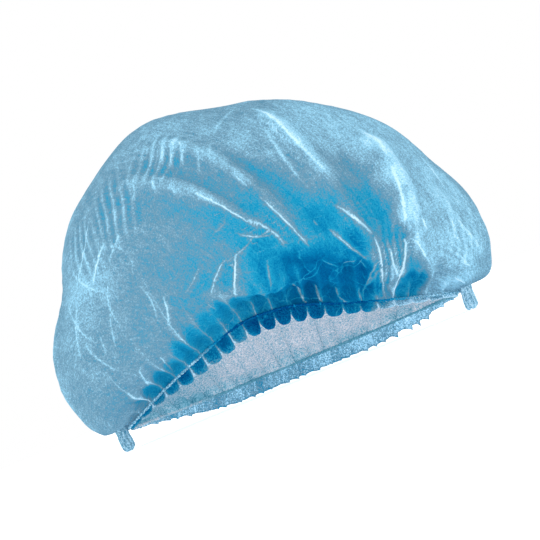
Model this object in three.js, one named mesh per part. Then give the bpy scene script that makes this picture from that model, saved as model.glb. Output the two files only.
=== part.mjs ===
// A disposable pleated cap of thin blue nonwoven cloth, puffed open and resting on its own hem.
// The cap is one pleated strip of cloth. Both ends of the strip are welded into a small tuft, the
// strip's two long edges are gathered on an elastic each, and the cloth between them puffs up.
// Millimetres, +Z up. The two welded ends lie on the X axis, and the lifted front hem faces -Y.
import * as THREE from "three";
import { mergeVertices } from "three/addons/utils/BufferGeometryUtils.js";

// Driving sizes of the whole cap
const END_SPAN = 213; // between the two welded ends
const CROWN_HALF_WIDTH = 133; // the crown's reach to each side
const CROWN_RISE = 161; // the crown's top above the elastic
const CROWN_FRONT = 76; // how far the crown bulges forwards
const CROWN_BACK = 96; // how far it bulges backwards
const MOUTH_FRONT = 40; // the front elastic, forward of the line between the ends
const MOUTH_BACK = 56; // the back elastic, behind that line
const HEM_LIFT = 32; // how high the front hem arches
const ELASTIC_HEIGHT = 11.5; // the elastic's ends above the surface that the cap rests on
const HEM_SAG = 1.5; // how much lower the back elastic is in its middle
const FRILL_DEPTH = 10; // from the elastic's middle to the frill's edge

// Cloth, elastic and gathers
const CROWN_WALL = 1.6;
const FRILL_WALL = 1.3;
const FRILL_END_SHARE = 0.2; // the frill's depth at the ends, as a share of its full depth
const FRILL_RAMP_LEFT = 0.33; // share of the strip over which the frill reaches its full depth
const FRONT_RAMP_RIGHT = 0.5; // the same at the right end
const BACK_RAMP_RIGHT = 0.16;
const BAND_HEIGHT = 2.4;
const BAND_THICKNESS = 1.5;
const SEAM_GAP = 0.3; // clearance between neighbouring pieces
const GATHERS = 22; // gathers along each elastic
const GATHER_DEPTH = 3;
const FRILL_WAVE = 1.5;
const FRILL_FLARE = 1.6; // how far the frill's edge stands out from its root
const FRONT_NOTCH = 2.2; // how much higher the frill's edge is at a crest
const BACK_NOTCH = 1.2;
const END_MARGIN = 0.012; // share of the strip that each end weld takes

// End tufts
const TUFT_SIZE = 8.6; // across its widest part
const TUFT_NECK_SHARE = 0.68;
const TUFT_DEPTH_SHARE = 1.25; // front to back against left to right
const TUFT_FLUTES = 8;
const TUFT_FLUTE_SHARE = 0.12;

// Mesh steps
const COLUMNS = GATHERS * 3; // along the strip, the same in every piece so that their edges follow

// Rows over the crown: how many up to each share of the way from front hem to back hem
const CROWN_ROWS = [
  { upTo: 0.1, rows: 6 },
  { upTo: 0.45, rows: 13 },
  { upTo: 0.9, rows: 9 },
  { upTo: 1, rows: 4 },
];

// The cloth's mean length along the strip and over the crown, to measure folds by
const CLOTH_ALONG = 290;
const CLOTH_OVER = 400;

// The crown's outline, a row for each section of the strip from its left end to its right end.
// at: place along the strip, out and up: the section's tip as shares of CROWN_HALF_WIDTH and
// CROWN_RISE, deep: its bulge as a share of CROWN_FRONT and CROWN_BACK, belly: the height share
// at which it is deepest.
const SECTIONS = [
  { at: 0.0, out: -0.81, up: 0.0, deep: 0.04, belly: 0.5 },
  { at: 0.04, out: -0.9, up: 0.004, deep: 0.3, belly: 0.5 },
  { at: 0.09, out: -0.96, up: 0.14, deep: 0.5, belly: 0.48 },
  { at: 0.14, out: -0.975, up: 0.295, deep: 0.63, belly: 0.46 },
  { at: 0.24, out: -0.815, up: 0.565, deep: 0.82, belly: 0.44 },
  { at: 0.35, out: -0.58, up: 0.85, deep: 0.95, belly: 0.42 },
  { at: 0.46, out: -0.21, up: 1.0, deep: 1.0, belly: 0.41 },
  { at: 0.57, out: 0.2, up: 0.945, deep: 1.0, belly: 0.41 },
  { at: 0.68, out: 0.555, up: 0.81, deep: 0.95, belly: 0.42 },
  { at: 0.78, out: 0.825, up: 0.595, deep: 0.84, belly: 0.44 },
  { at: 0.88, out: 0.995, up: 0.28, deep: 0.65, belly: 0.46 },
  { at: 0.94, out: 0.99, up: 0.1, deep: 0.5, belly: 0.48 },
  { at: 0.97, out: 0.94, up: 0.014, deep: 0.3, belly: 0.5 },
  { at: 1.0, out: 0.81, up: 0.0, deep: 0.04, belly: 0.5 },
];

// The front hem's arch: lift is a share of HEM_LIFT.
const HEM_ARCH = [
  { at: 0.0, lift: 0.0 },
  { at: 0.09, lift: 0.27 },
  { at: 0.25, lift: 0.68 },
  { at: 0.42, lift: 1.0 },
  { at: 0.54, lift: 0.95 },
  { at: 0.69, lift: 0.62 },
  { at: 0.85, lift: 0.28 },
  { at: 1.0, lift: 0.0 },
];

// Where each quarter of a section ends, as a share of its way from the front hem to the back hem
const FRONT_BELLY = 0.15;
const SUMMIT = 0.45;
const BACK_BELLY = 0.775;
const NECK_SLOPE = 0.45; // how steeply the height starts from the elastic
const NECK_TURN = 1.4; // above 1 the crown leaves the elastic upright before it bulges

// Main folds that stand proud of the crown or dip into it. Each bends through three places, given
// as shares of the strip's length (along) and of the way over the crown (over).
// rise and spread: height and half width as shares of CROWN_RISE.
const FOLDS = [
  { along: [0.386, 0.469, 0.594], over: [0.325, 0.24, 0.142], rise: 0.03, spread: 0.045 },
  { along: [0.452, 0.526, 0.616], over: [0.334, 0.26, 0.142], rise: 0.024, spread: 0.04 },
  { along: [0.578, 0.662, 0.773], over: [0.376, 0.233, 0.062], rise: 0.03, spread: 0.045 },
  { along: [0.717, 0.786, 0.822], over: [0.338, 0.221, 0.05], rise: 0.034, spread: 0.045 },
  { along: [0.459, 0.521, 0.584], over: [0.283, 0.205, 0.151], rise: -0.014, spread: 0.03 },
  { along: [0.53, 0.598, 0.68], over: [0.296, 0.212, 0.124], rise: -0.014, spread: 0.04 },
  { along: [0.667, 0.736, 0.774], over: [0.308, 0.205, 0.104], rise: -0.02, spread: 0.045 },
  { along: [0.528, 0.636, 0.733], over: [0.129, 0.1, 0.039], rise: -0.034, spread: 0.06 },
  { along: [0.386, 0.47, 0.579], over: [0.128, 0.098, 0.084], rise: 0.03, spread: 0.045 },
  { along: [0.37, 0.55, 0.75], over: [0.03, 0.022, 0.03], rise: -0.02, spread: 0.035 },
  { along: [0.776, 0.811, 0.872], over: [0.18, 0.11, 0.014], rise: -0.028, spread: 0.04 },
  { along: [0.212, 0.163, 0.125], over: [0.264, 0.163, 0.101], rise: -0.012, spread: 0.05 },
  { along: [0.827, 0.865, 0.948], over: [0.308, 0.238, 0.244], rise: 0.02, spread: 0.045 },
  { along: [0.04, 0.12, 0.24], over: [0.3, 0.38, 0.46], rise: 0.02, spread: 0.06 },
  { along: [0.14, 0.4, 0.66], over: [0.58, 0.66, 0.62], rise: 0.022, spread: 0.06 },
  { along: [0.4, 0.62, 0.86], over: [0.7, 0.76, 0.7], rise: 0.02, spread: 0.055 },
  { along: [0.12, 0.45, 0.84], over: [0.84, 0.85, 0.84], rise: -0.02, spread: 0.06 },
];
const FOLD_FADE = 0.25; // share of a fold's length over which it rises and dies
const FOLD_STEPS = 16;

// Gathers that run on from the elastic up into the crown, repeated along the hem
const GATHER_REACH = [0.13, 0.08, 0.16, 0.1, 0.14, 0.08, 0.18]; // share of the way over the crown

// Soft crumples all over: waves along and over the crown, rise as a share of CROWN_RISE
const CRUMPLES = [
  { along: 7, over: 5, phase: 0.6, rise: 0.009 },
  { along: 12, over: 4, phase: 2.1, rise: 0.008 },
  { along: 5, over: 10, phase: 4.0, rise: 0.007 },
];

// Smooth interpolation of one column of a table whose first column is "at"
function column(rows, name, at) {
  let i = 0;
  while (i < rows.length - 2 && at > rows[i + 1].at) i += 1;
  const slope = (j) => (rows[j + 1][name] - rows[j][name]) / (rows[j + 1].at - rows[j].at);
  const tangent = (j) => {
    if (j === 0) return slope(0);
    if (j === rows.length - 1) return slope(j - 1);
    const before = rows[j].at - rows[j - 1].at;
    const after = rows[j + 1].at - rows[j].at;
    return (slope(j - 1) * after + slope(j) * before) / (before + after);
  };
  const step = rows[i + 1].at - rows[i].at;
  const u = (at - rows[i].at) / step;
  return (
    (2 * u ** 3 - 3 * u ** 2 + 1) * rows[i][name] +
    (u ** 3 - 2 * u ** 2 + u) * step * tangent(i) +
    (3 * u ** 2 - 2 * u ** 3) * rows[i + 1][name] +
    (u ** 3 - u ** 2) * step * tangent(i + 1)
  );
}

const smooth = (u) => THREE.MathUtils.smoothstep(u, 0, 1);

// How open the mouth is at a place along the strip: 0 at the ends, 1 in the middle
const opening = (s) => Math.sin(Math.PI * s) ** 0.85;

// The elastic's centre line, at the front for side -1 and at the back for side 1
function hemPoint(s, side) {
  const arch = side < 0 ? HEM_LIFT * column(HEM_ARCH, "lift", s) : 0;
  const sag = side > 0 ? HEM_SAG * smooth(Math.min(s, 1 - s) / 0.35) : 0;
  return new THREE.Vector3(
    END_SPAN * (s - 0.5),
    side * (side < 0 ? MOUTH_FRONT : MOUTH_BACK) * opening(s),
    ELASTIC_HEIGHT + arch - sag,
  );
}

// The crown without folds. s runs along the strip, t over the crown from front hem to back hem.
function crownForm(s, t) {
  const tip = CROWN_HALF_WIDTH * column(SECTIONS, "out", s);
  const top = CROWN_RISE * column(SECTIONS, "up", s);
  const deep = column(SECTIONS, "deep", s);
  const belly = column(SECTIONS, "belly", s);
  const front = CROWN_FRONT * deep;
  const back = CROWN_BACK * deep;
  const neckRise = (u) =>
    belly * ((1 - NECK_SLOPE) * (1 - Math.cos((u * Math.PI) / 2)) + NECK_SLOPE * u);
  let y = 0;
  let height = 0;
  let lift = 0;
  if (t < FRONT_BELLY) {
    const u = t / FRONT_BELLY;
    const neck = hemPoint(s, -1);
    y = neck.y - (front + neck.y) * Math.sin((u * Math.PI) / 2) ** NECK_TURN;
    height = neckRise(u);
    lift = (neck.z - ELASTIC_HEIGHT) * (1 - smooth(u));
  } else if (t < SUMMIT) {
    const turn = (((t - FRONT_BELLY) / (SUMMIT - FRONT_BELLY)) * Math.PI) / 2;
    y = -front * Math.cos(turn);
    height = belly + (1 - belly) * Math.sin(turn);
  } else if (t < BACK_BELLY) {
    const turn = (((BACK_BELLY - t) / (BACK_BELLY - SUMMIT)) * Math.PI) / 2;
    y = back * Math.cos(turn);
    height = belly + (1 - belly) * Math.sin(turn);
  } else {
    const u = (1 - t) / (1 - BACK_BELLY);
    const neck = hemPoint(s, 1);
    y = neck.y + (back - neck.y) * Math.sin((u * Math.PI) / 2) ** NECK_TURN;
    height = neckRise(u);
    lift = (neck.z - ELASTIC_HEIGHT) * (1 - smooth(u));
  }
  const root = END_SPAN * (s - 0.5);
  const start = ELASTIC_HEIGHT + BAND_HEIGHT / 2 + 2.4 * SEAM_GAP;
  return new THREE.Vector3(root + height * (tip - root), y, start + lift + height * top);
}

// The outward direction of the smooth crown, which turns level where the crown meets its hem
function crownNormal(s, t) {
  const step = 1e-3;
  const s0 = Math.max(s - step, 0);
  const s1 = Math.min(s + step, 1);
  const t0 = Math.max(t - step, 0);
  const t1 = Math.min(t + step, 1);
  const along = crownForm(s1, t).sub(crownForm(s0, t));
  const over = crownForm(s, t1).sub(crownForm(s, t0));
  const out = along.cross(over).normalize();
  const hem = hemFrame(s, t < 0.5 ? -1 : 1).out;
  return hem.lerp(out, smooth(Math.min(t, 1 - t) / 0.03)).normalize();
}

// Gathers: sharp crests that stand out and round valleys between; 1 at a crest, -0.6 in a valley
const turnsAt = (s) => (GATHERS * (s - END_MARGIN)) / (1 - 2 * END_MARGIN);
const pinch = (s) => 1 - 1.6 * Math.abs(Math.sin(Math.PI * turnsAt(s))) ** 0.8;

// The gathers die out towards both ends, where the strip is welded
const endFade = (s) => smooth((Math.min(s, 1 - s) - 0.03) / 0.07);

// Places along each fold's bend, in millimetres of cloth, with the fold's strength there
const FOLD_LINES = FOLDS.map(({ along, over, rise, spread }) => {
  const bend = (values, u) =>
    values[0] * (1 - u) * (1 - 2 * u) + values[1] * 4 * u * (1 - u) + values[2] * u * (2 * u - 1);
  const places = Array.from({ length: FOLD_STEPS + 1 }, (_, k) => {
    const u = k / FOLD_STEPS;
    return {
      x: bend(along, u) * CLOTH_ALONG,
      y: bend(over, u) * CLOTH_OVER,
      height: rise * CROWN_RISE * smooth(u / FOLD_FADE) * smooth((1 - u) / FOLD_FADE),
    };
  });
  return { places, width: spread * CROWN_RISE };
});

function foldHeight(s, t) {
  let sum = 0;
  for (const { places, width } of FOLD_LINES) {
    let nearest = Infinity;
    let height = 0;
    for (let k = 0; k < places.length - 1; k += 1) {
      const [from, to] = [places[k], places[k + 1]];
      const [dx, dy] = [to.x - from.x, to.y - from.y];
      const [px, py] = [s * CLOTH_ALONG - from.x, t * CLOTH_OVER - from.y];
      const u = THREE.MathUtils.clamp((px * dx + py * dy) / (dx * dx + dy * dy), 0, 1);
      const distance = Math.hypot(px - u * dx, py - u * dy);
      if (distance < nearest) {
        nearest = distance;
        height = from.height + u * (to.height - from.height);
      }
    }
    sum += height * Math.exp(-((nearest / width) ** 1.5));
  }
  return sum * smooth(Math.min(t, 1 - t) / 0.02);
}

function gatherHeight(s, t) {
  const lobe = Math.round(turnsAt(s));
  const reach = GATHER_REACH[lobe % GATHER_REACH.length];
  const fromHem = Math.min(t, 1 - t);
  return GATHER_DEPTH * pinch(s) * endFade(s) * (1 - smooth(fromHem / reach));
}

function crumpleHeight(s, t) {
  let sum = 0;
  for (const wave of CRUMPLES) {
    const along = wave.along * Math.PI * s + 1.7 * Math.sin(5 * t + wave.phase);
    const over = wave.over * Math.PI * t + 1.3 * Math.sin(6 * s + wave.phase);
    sum += wave.rise * Math.sin(along + wave.phase) * Math.sin(over);
  }
  return sum * CROWN_RISE * smooth(Math.min(s, 1 - s) / 0.12);
}

// A closed wall lofted through rings. Each ring is a closed loop of points with the same count.
function loft(rings) {
  const count = rings[0].length;
  const points = rings.flat().flatMap((p) => [p.x, p.y, p.z]);
  const faces = [];
  for (let i = 0; i < rings.length - 1; i += 1) {
    for (let j = 0; j < count; j += 1) {
      const a = i * count + j;
      const b = i * count + ((j + 1) % count);
      faces.push(a, b, a + count, b, b + count, a + count);
    }
  }
  const cap = (ring, flip) => {
    const base = ring * count;
    const half = count / 2;
    for (let j = 0; j < half - 1; j += 1) {
      const [a, b, c, d] = [base + j, base + j + 1, base + count - 1 - j, base + count - 2 - j];
      faces.push(...(flip ? [a, c, b, b, c, d] : [a, b, c, b, d, c]));
    }
  };
  cap(0, true);
  cap(rings.length - 1, false);
  const made = new THREE.BufferGeometry();
  made.setAttribute("position", new THREE.Float32BufferAttribute(points, 3));
  made.setIndex(faces);
  return facingOut(made);
}

// Turns every face round if the body encloses a negative volume
function facingOut(made) {
  const merged = mergeVertices(made, 1e-4);
  const position = merged.getAttribute("position");
  const index = merged.index.array;
  let volume = 0;
  for (let i = 0; i < index.length; i += 3) {
    const [a, b, c] = [0, 1, 2].map((k) =>
      new THREE.Vector3().fromBufferAttribute(position, index[i + k]),
    );
    volume += a.dot(b.cross(c));
  }
  if (volume < 0) {
    for (let i = 0; i < index.length; i += 3) {
      [index[i + 1], index[i + 2]] = [index[i + 2], index[i + 1]];
    }
  }
  merged.computeVertexNormals();
  return merged;
}

function rowPlaces() {
  const places = [0];
  for (const { upTo, rows } of CROWN_ROWS) {
    const from = places.at(-1);
    for (let j = 1; j <= rows; j += 1) places.push(from + ((upTo - from) * j) / rows);
  }
  return places;
}

// The crown: a cloth wall whose edge stops just short of each elastic
function makeCrown() {
  const rings = [];
  for (let i = 0; i <= COLUMNS; i += 1) {
    const s = END_MARGIN + (1 - 2 * END_MARGIN) * (i / COLUMNS);
    const outer = [];
    const inner = [];
    for (const t of rowPlaces()) {
      const out = crownNormal(s, t);
      const height = foldHeight(s, t) + gatherHeight(s, t) + crumpleHeight(s, t);
      const face = crownForm(s, t).addScaledVector(out, height);
      outer.push(face);
      inner.push(face.clone().addScaledVector(out, -CROWN_WALL));
    }
    rings.push([...outer, ...inner.reverse()]);
  }
  return loft(rings);
}

// Directions at the hem: ahead along the elastic, and out from the mouth, level
function hemFrame(s, side) {
  const step = 1e-3;
  const ahead = hemPoint(s + step, side).sub(hemPoint(s - step, side)).normalize();
  const out = new THREE.Vector3(ahead.y, -ahead.x, 0).multiplyScalar(-side).normalize();
  const down = new THREE.Vector3().crossVectors(ahead, out).normalize();
  if (down.z > 0) down.negate();
  return { ahead, out, down };
}

// One elastic: a flat band along a long edge of the strip
function makeElastic(side) {
  const rings = [];
  for (let i = 0; i <= COLUMNS; i += 1) {
    const s = END_MARGIN + (1 - 2 * END_MARGIN) * (i / COLUMNS);
    const middle = hemPoint(s, side);
    const { out, down } = hemFrame(s, side);
    const corner = (across, drop) =>
      middle
        .clone()
        .addScaledVector(out, (across * BAND_THICKNESS) / 2)
        .addScaledVector(down, (drop * BAND_HEIGHT) / 2);
    rings.push([corner(1, -1), corner(1, 1), corner(-1, 1), corner(-1, -1)]);
  }
  return loft(rings);
}

// One frill: the gathered edge of the cloth beyond the elastic, resting on its lobes at the back
function makeFrill(side) {
  const rings = [];
  const root = BAND_HEIGHT / 2 + SEAM_GAP;
  const rampRight = side < 0 ? FRONT_RAMP_RIGHT : BACK_RAMP_RIGHT;
  const notch = side < 0 ? FRONT_NOTCH : BACK_NOTCH;
  for (let i = 0; i <= COLUMNS; i += 1) {
    const s = END_MARGIN + (1 - 2 * END_MARGIN) * (i / COLUMNS);
    const middle = hemPoint(s, side);
    const { out, down } = hemFrame(s, side);
    const crest = pinch(s) * endFade(s);
    const ramp = smooth(s / FRILL_RAMP_LEFT) * smooth((1 - s) / rampRight);
    const full = FRILL_END_SHARE + (1 - FRILL_END_SHARE) * ramp;
    const fall = (FRILL_DEPTH - root) * full - notch * Math.max(crest, 0) * full;
    const point = (drop, across) => middle.clone().addScaledVector(down, drop).addScaledVector(out, across);
    const sway = (share) => (FRILL_FLARE * endFade(s) + FRILL_WAVE * crest) * share;
    const half = FRILL_WALL / 2;
    rings.push([
      point(root, half + sway(0.3)),
      point(root + fall * 0.5, half + sway(0.8)),
      point(root + fall, half + sway(1)),
      point(root + fall, sway(1) - half),
      point(root + fall * 0.5, sway(0.8) - half),
      point(root, sway(0.3) - half),
    ]);
  }
  return loft(rings);
}

// The tuft at a welded end, side -1 on the left: crushed pleats that hang to the surface
function makeTuft(side) {
  const profile = [
    { up: 0, wide: 0.68 },
    { up: 0.1, wide: 0.92 },
    { up: 0.3, wide: 1 },
    { up: 0.5, wide: (1 + TUFT_NECK_SHARE) / 2 },
    { up: 0.7, wide: TUFT_NECK_SHARE },
    { up: 1, wide: 0.95 },
  ];
  const sides = TUFT_FLUTES * 2;
  const top = ELASTIC_HEIGHT + BAND_HEIGHT / 2;
  const endOfBand = hemPoint(END_MARGIN, -1).x;
  const middle = endOfBand - SEAM_GAP - TUFT_SIZE / 2;
  const rings = profile.map(({ up, wide }) =>
    Array.from({ length: sides }, (_, k) => {
      const flute = 1 - TUFT_FLUTE_SHARE * (k % 2) * (1 - up);
      const reach = (TUFT_SIZE / 2) * wide * flute;
      const angle = (2 * Math.PI * k) / sides;
      return new THREE.Vector3(
        -side * (middle + reach * Math.cos(angle)),
        reach * TUFT_DEPTH_SHARE * Math.sin(angle),
        top * up,
      );
    }),
  );
  return loft(rings);
}

const CLOTH = new THREE.MeshStandardMaterial({ color: 0x6fb4dc, roughness: 0.85, metalness: 0 });
const HEM_CLOTH = new THREE.MeshStandardMaterial({ color: 0x5aa5d2, roughness: 0.85, metalness: 0 });
const ELASTIC = new THREE.MeshStandardMaterial({ color: 0x3a8cb4, roughness: 0.7, metalness: 0 });

function piece(name, geometry, material) {
  const mesh = new THREE.Mesh(geometry, material);
  mesh.name = name;
  return mesh;
}

const cap = new THREE.Group();
cap.name = "pleated_cap";
cap.add(
  piece("crown", makeCrown(), CLOTH),
  piece("front_elastic", makeElastic(-1), ELASTIC),
  piece("back_elastic", makeElastic(1), ELASTIC),
  piece("front_frill", makeFrill(-1), HEM_CLOTH),
  piece("back_frill", makeFrill(1), HEM_CLOTH),
  piece("left_end_tuft", makeTuft(-1), HEM_CLOTH),
  piece("right_end_tuft", makeTuft(1), HEM_CLOTH),
);

// The origin: the middle of the overall size, on the surface that the cap rests on
const overall = new THREE.Box3().setFromObject(cap);
const middle = overall.getCenter(new THREE.Vector3());
for (const mesh of cap.children) mesh.geometry.translate(-middle.x, -middle.y, -overall.min.z);

export default cap;
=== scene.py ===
import math

import bmesh
import bpy
import numpy as np
from mathutils import Matrix, Vector

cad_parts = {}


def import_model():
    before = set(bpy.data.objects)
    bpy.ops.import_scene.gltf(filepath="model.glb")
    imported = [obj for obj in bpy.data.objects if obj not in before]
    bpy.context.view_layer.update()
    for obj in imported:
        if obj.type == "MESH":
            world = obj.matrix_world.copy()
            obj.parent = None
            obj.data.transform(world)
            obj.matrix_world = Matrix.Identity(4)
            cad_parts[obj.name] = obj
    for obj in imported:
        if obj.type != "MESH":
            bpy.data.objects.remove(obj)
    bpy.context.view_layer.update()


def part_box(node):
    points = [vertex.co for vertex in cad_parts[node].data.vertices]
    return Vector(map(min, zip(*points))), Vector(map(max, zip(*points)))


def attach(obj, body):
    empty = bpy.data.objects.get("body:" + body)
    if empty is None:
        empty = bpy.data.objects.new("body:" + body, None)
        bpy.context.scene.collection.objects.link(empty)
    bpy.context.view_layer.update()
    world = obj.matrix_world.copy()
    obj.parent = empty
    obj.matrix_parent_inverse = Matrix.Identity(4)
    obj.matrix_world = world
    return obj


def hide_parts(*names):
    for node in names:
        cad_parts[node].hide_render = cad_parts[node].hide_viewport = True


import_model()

bl_info = {
    "name": "Pleated nonwoven cap",
    "version": (1, 0, 0),
    "blender": (4, 5, 0),
    "location": "View3D > Sidebar > Cap",
    "description": "A puffed disposable cap with gathered hems, elastics and welded ends",
    "category": "Object",
}

MM = 0.001
BODY = "root"


def table(columns, *rows):
    """A list of rows, each as a dict of the columns' names and the row's values."""
    return [dict(zip(columns.split(), row)) for row in rows]


# The crown's outline, a row for each section of the strip from its left end to its right end.
# out and up: the section's tip as shares of the half width and the rise, deep: its bulge,
# belly: the height share at which it is deepest.
SECTIONS = table(
    "at out up deep belly",
    (0.0, -0.81, 0.0, 0.04, 0.5), (0.04, -0.9, 0.004, 0.3, 0.5),
    (0.09, -0.96, 0.14, 0.5, 0.48), (0.14, -0.975, 0.295, 0.63, 0.46),
    (0.24, -0.815, 0.565, 0.82, 0.44), (0.35, -0.58, 0.85, 0.95, 0.42),
    (0.46, -0.21, 1.0, 1.0, 0.41), (0.57, 0.2, 0.945, 1.0, 0.41),
    (0.68, 0.555, 0.81, 0.95, 0.42), (0.78, 0.825, 0.595, 0.84, 0.44),
    (0.88, 0.995, 0.28, 0.65, 0.46), (0.94, 0.99, 0.1, 0.5, 0.48),
    (0.97, 0.94, 0.014, 0.3, 0.5), (1.0, 0.81, 0.0, 0.04, 0.5),
)

# The front hem's arch: its height at places along the strip, as a share of the hem's lift
HEM_ARCH = table(
    "at lift",
    (0.0, 0.0), (0.09, 0.27), (0.25, 0.68), (0.42, 1.0),
    (0.54, 0.95), (0.69, 0.62), (0.85, 0.28), (1.0, 0.0),
)

# Places on the way over the crown, where the front hem is 0 and the back hem is 1
FRONT_BELLY, SUMMIT, BACK_BELLY = 0.15, 0.45, 0.775
# Between a hem and its belly: how evenly the cloth rises, and how late it swings outwards
NECK_SLOPE, NECK_TURN = 0.45, 1.4

# Main folds: each bends through three places, in shares of the strip's length (along) and of the
# way over the crown (over). rise and spread are shares of the crown's rise, and edge says how
# sharp its crest is and, below 0.7, how strongly a pale line of painted highlight marks it. A fold with a
# negative rise is a dent.
FOLDS = table(
    "along over rise spread edge",
    ((0.386, 0.469, 0.594), (0.325, 0.24, 0.142), 0.03, 0.045, 1),
    ((0.452, 0.526, 0.616), (0.334, 0.26, 0.142), 0.024, 0.04, 0.9),
    ((0.578, 0.662, 0.773), (0.376, 0.233, 0.062), 0.03, 0.045, 0.8),
    ((0.717, 0.786, 0.822), (0.338, 0.221, 0.05), 0.034, 0.045, 0.8),
    ((0.459, 0.521, 0.584), (0.283, 0.205, 0.151), -0.014, 0.03, 0),
    ((0.53, 0.598, 0.68), (0.296, 0.212, 0.124), -0.014, 0.04, 0),
    ((0.667, 0.736, 0.774), (0.308, 0.205, 0.104), -0.02, 0.045, 0),
    ((0.528, 0.636, 0.733), (0.129, 0.1, 0.039), -0.034, 0.06, 0),
    ((0.386, 0.47, 0.579), (0.128, 0.098, 0.084), 0.03, 0.045, 0.3),
    ((0.37, 0.55, 0.75), (0.03, 0.022, 0.03), -0.02, 0.035, 0),
    ((0.776, 0.811, 0.872), (0.18, 0.11, 0.014), -0.028, 0.04, 0),
    ((0.212, 0.163, 0.125), (0.264, 0.163, 0.101), -0.012, 0.05, 0),
    ((0.827, 0.865, 0.948), (0.308, 0.238, 0.244), 0.02, 0.045, 0.4),
    ((0.04, 0.12, 0.24), (0.3, 0.38, 0.46), 0.02, 0.06, 0.3),
    ((0.14, 0.4, 0.66), (0.58, 0.66, 0.62), 0.022, 0.06, 0.6),
    ((0.4, 0.62, 0.86), (0.7, 0.76, 0.7), 0.02, 0.055, 0.6),
    ((0.12, 0.45, 0.84), (0.84, 0.85, 0.84), -0.02, 0.06, 0),
)
# The share of a fold over which it rises and dies, and the short steps that its line is taken in
FOLD_FADE, FOLD_STEPS = 0.25, 16
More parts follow.
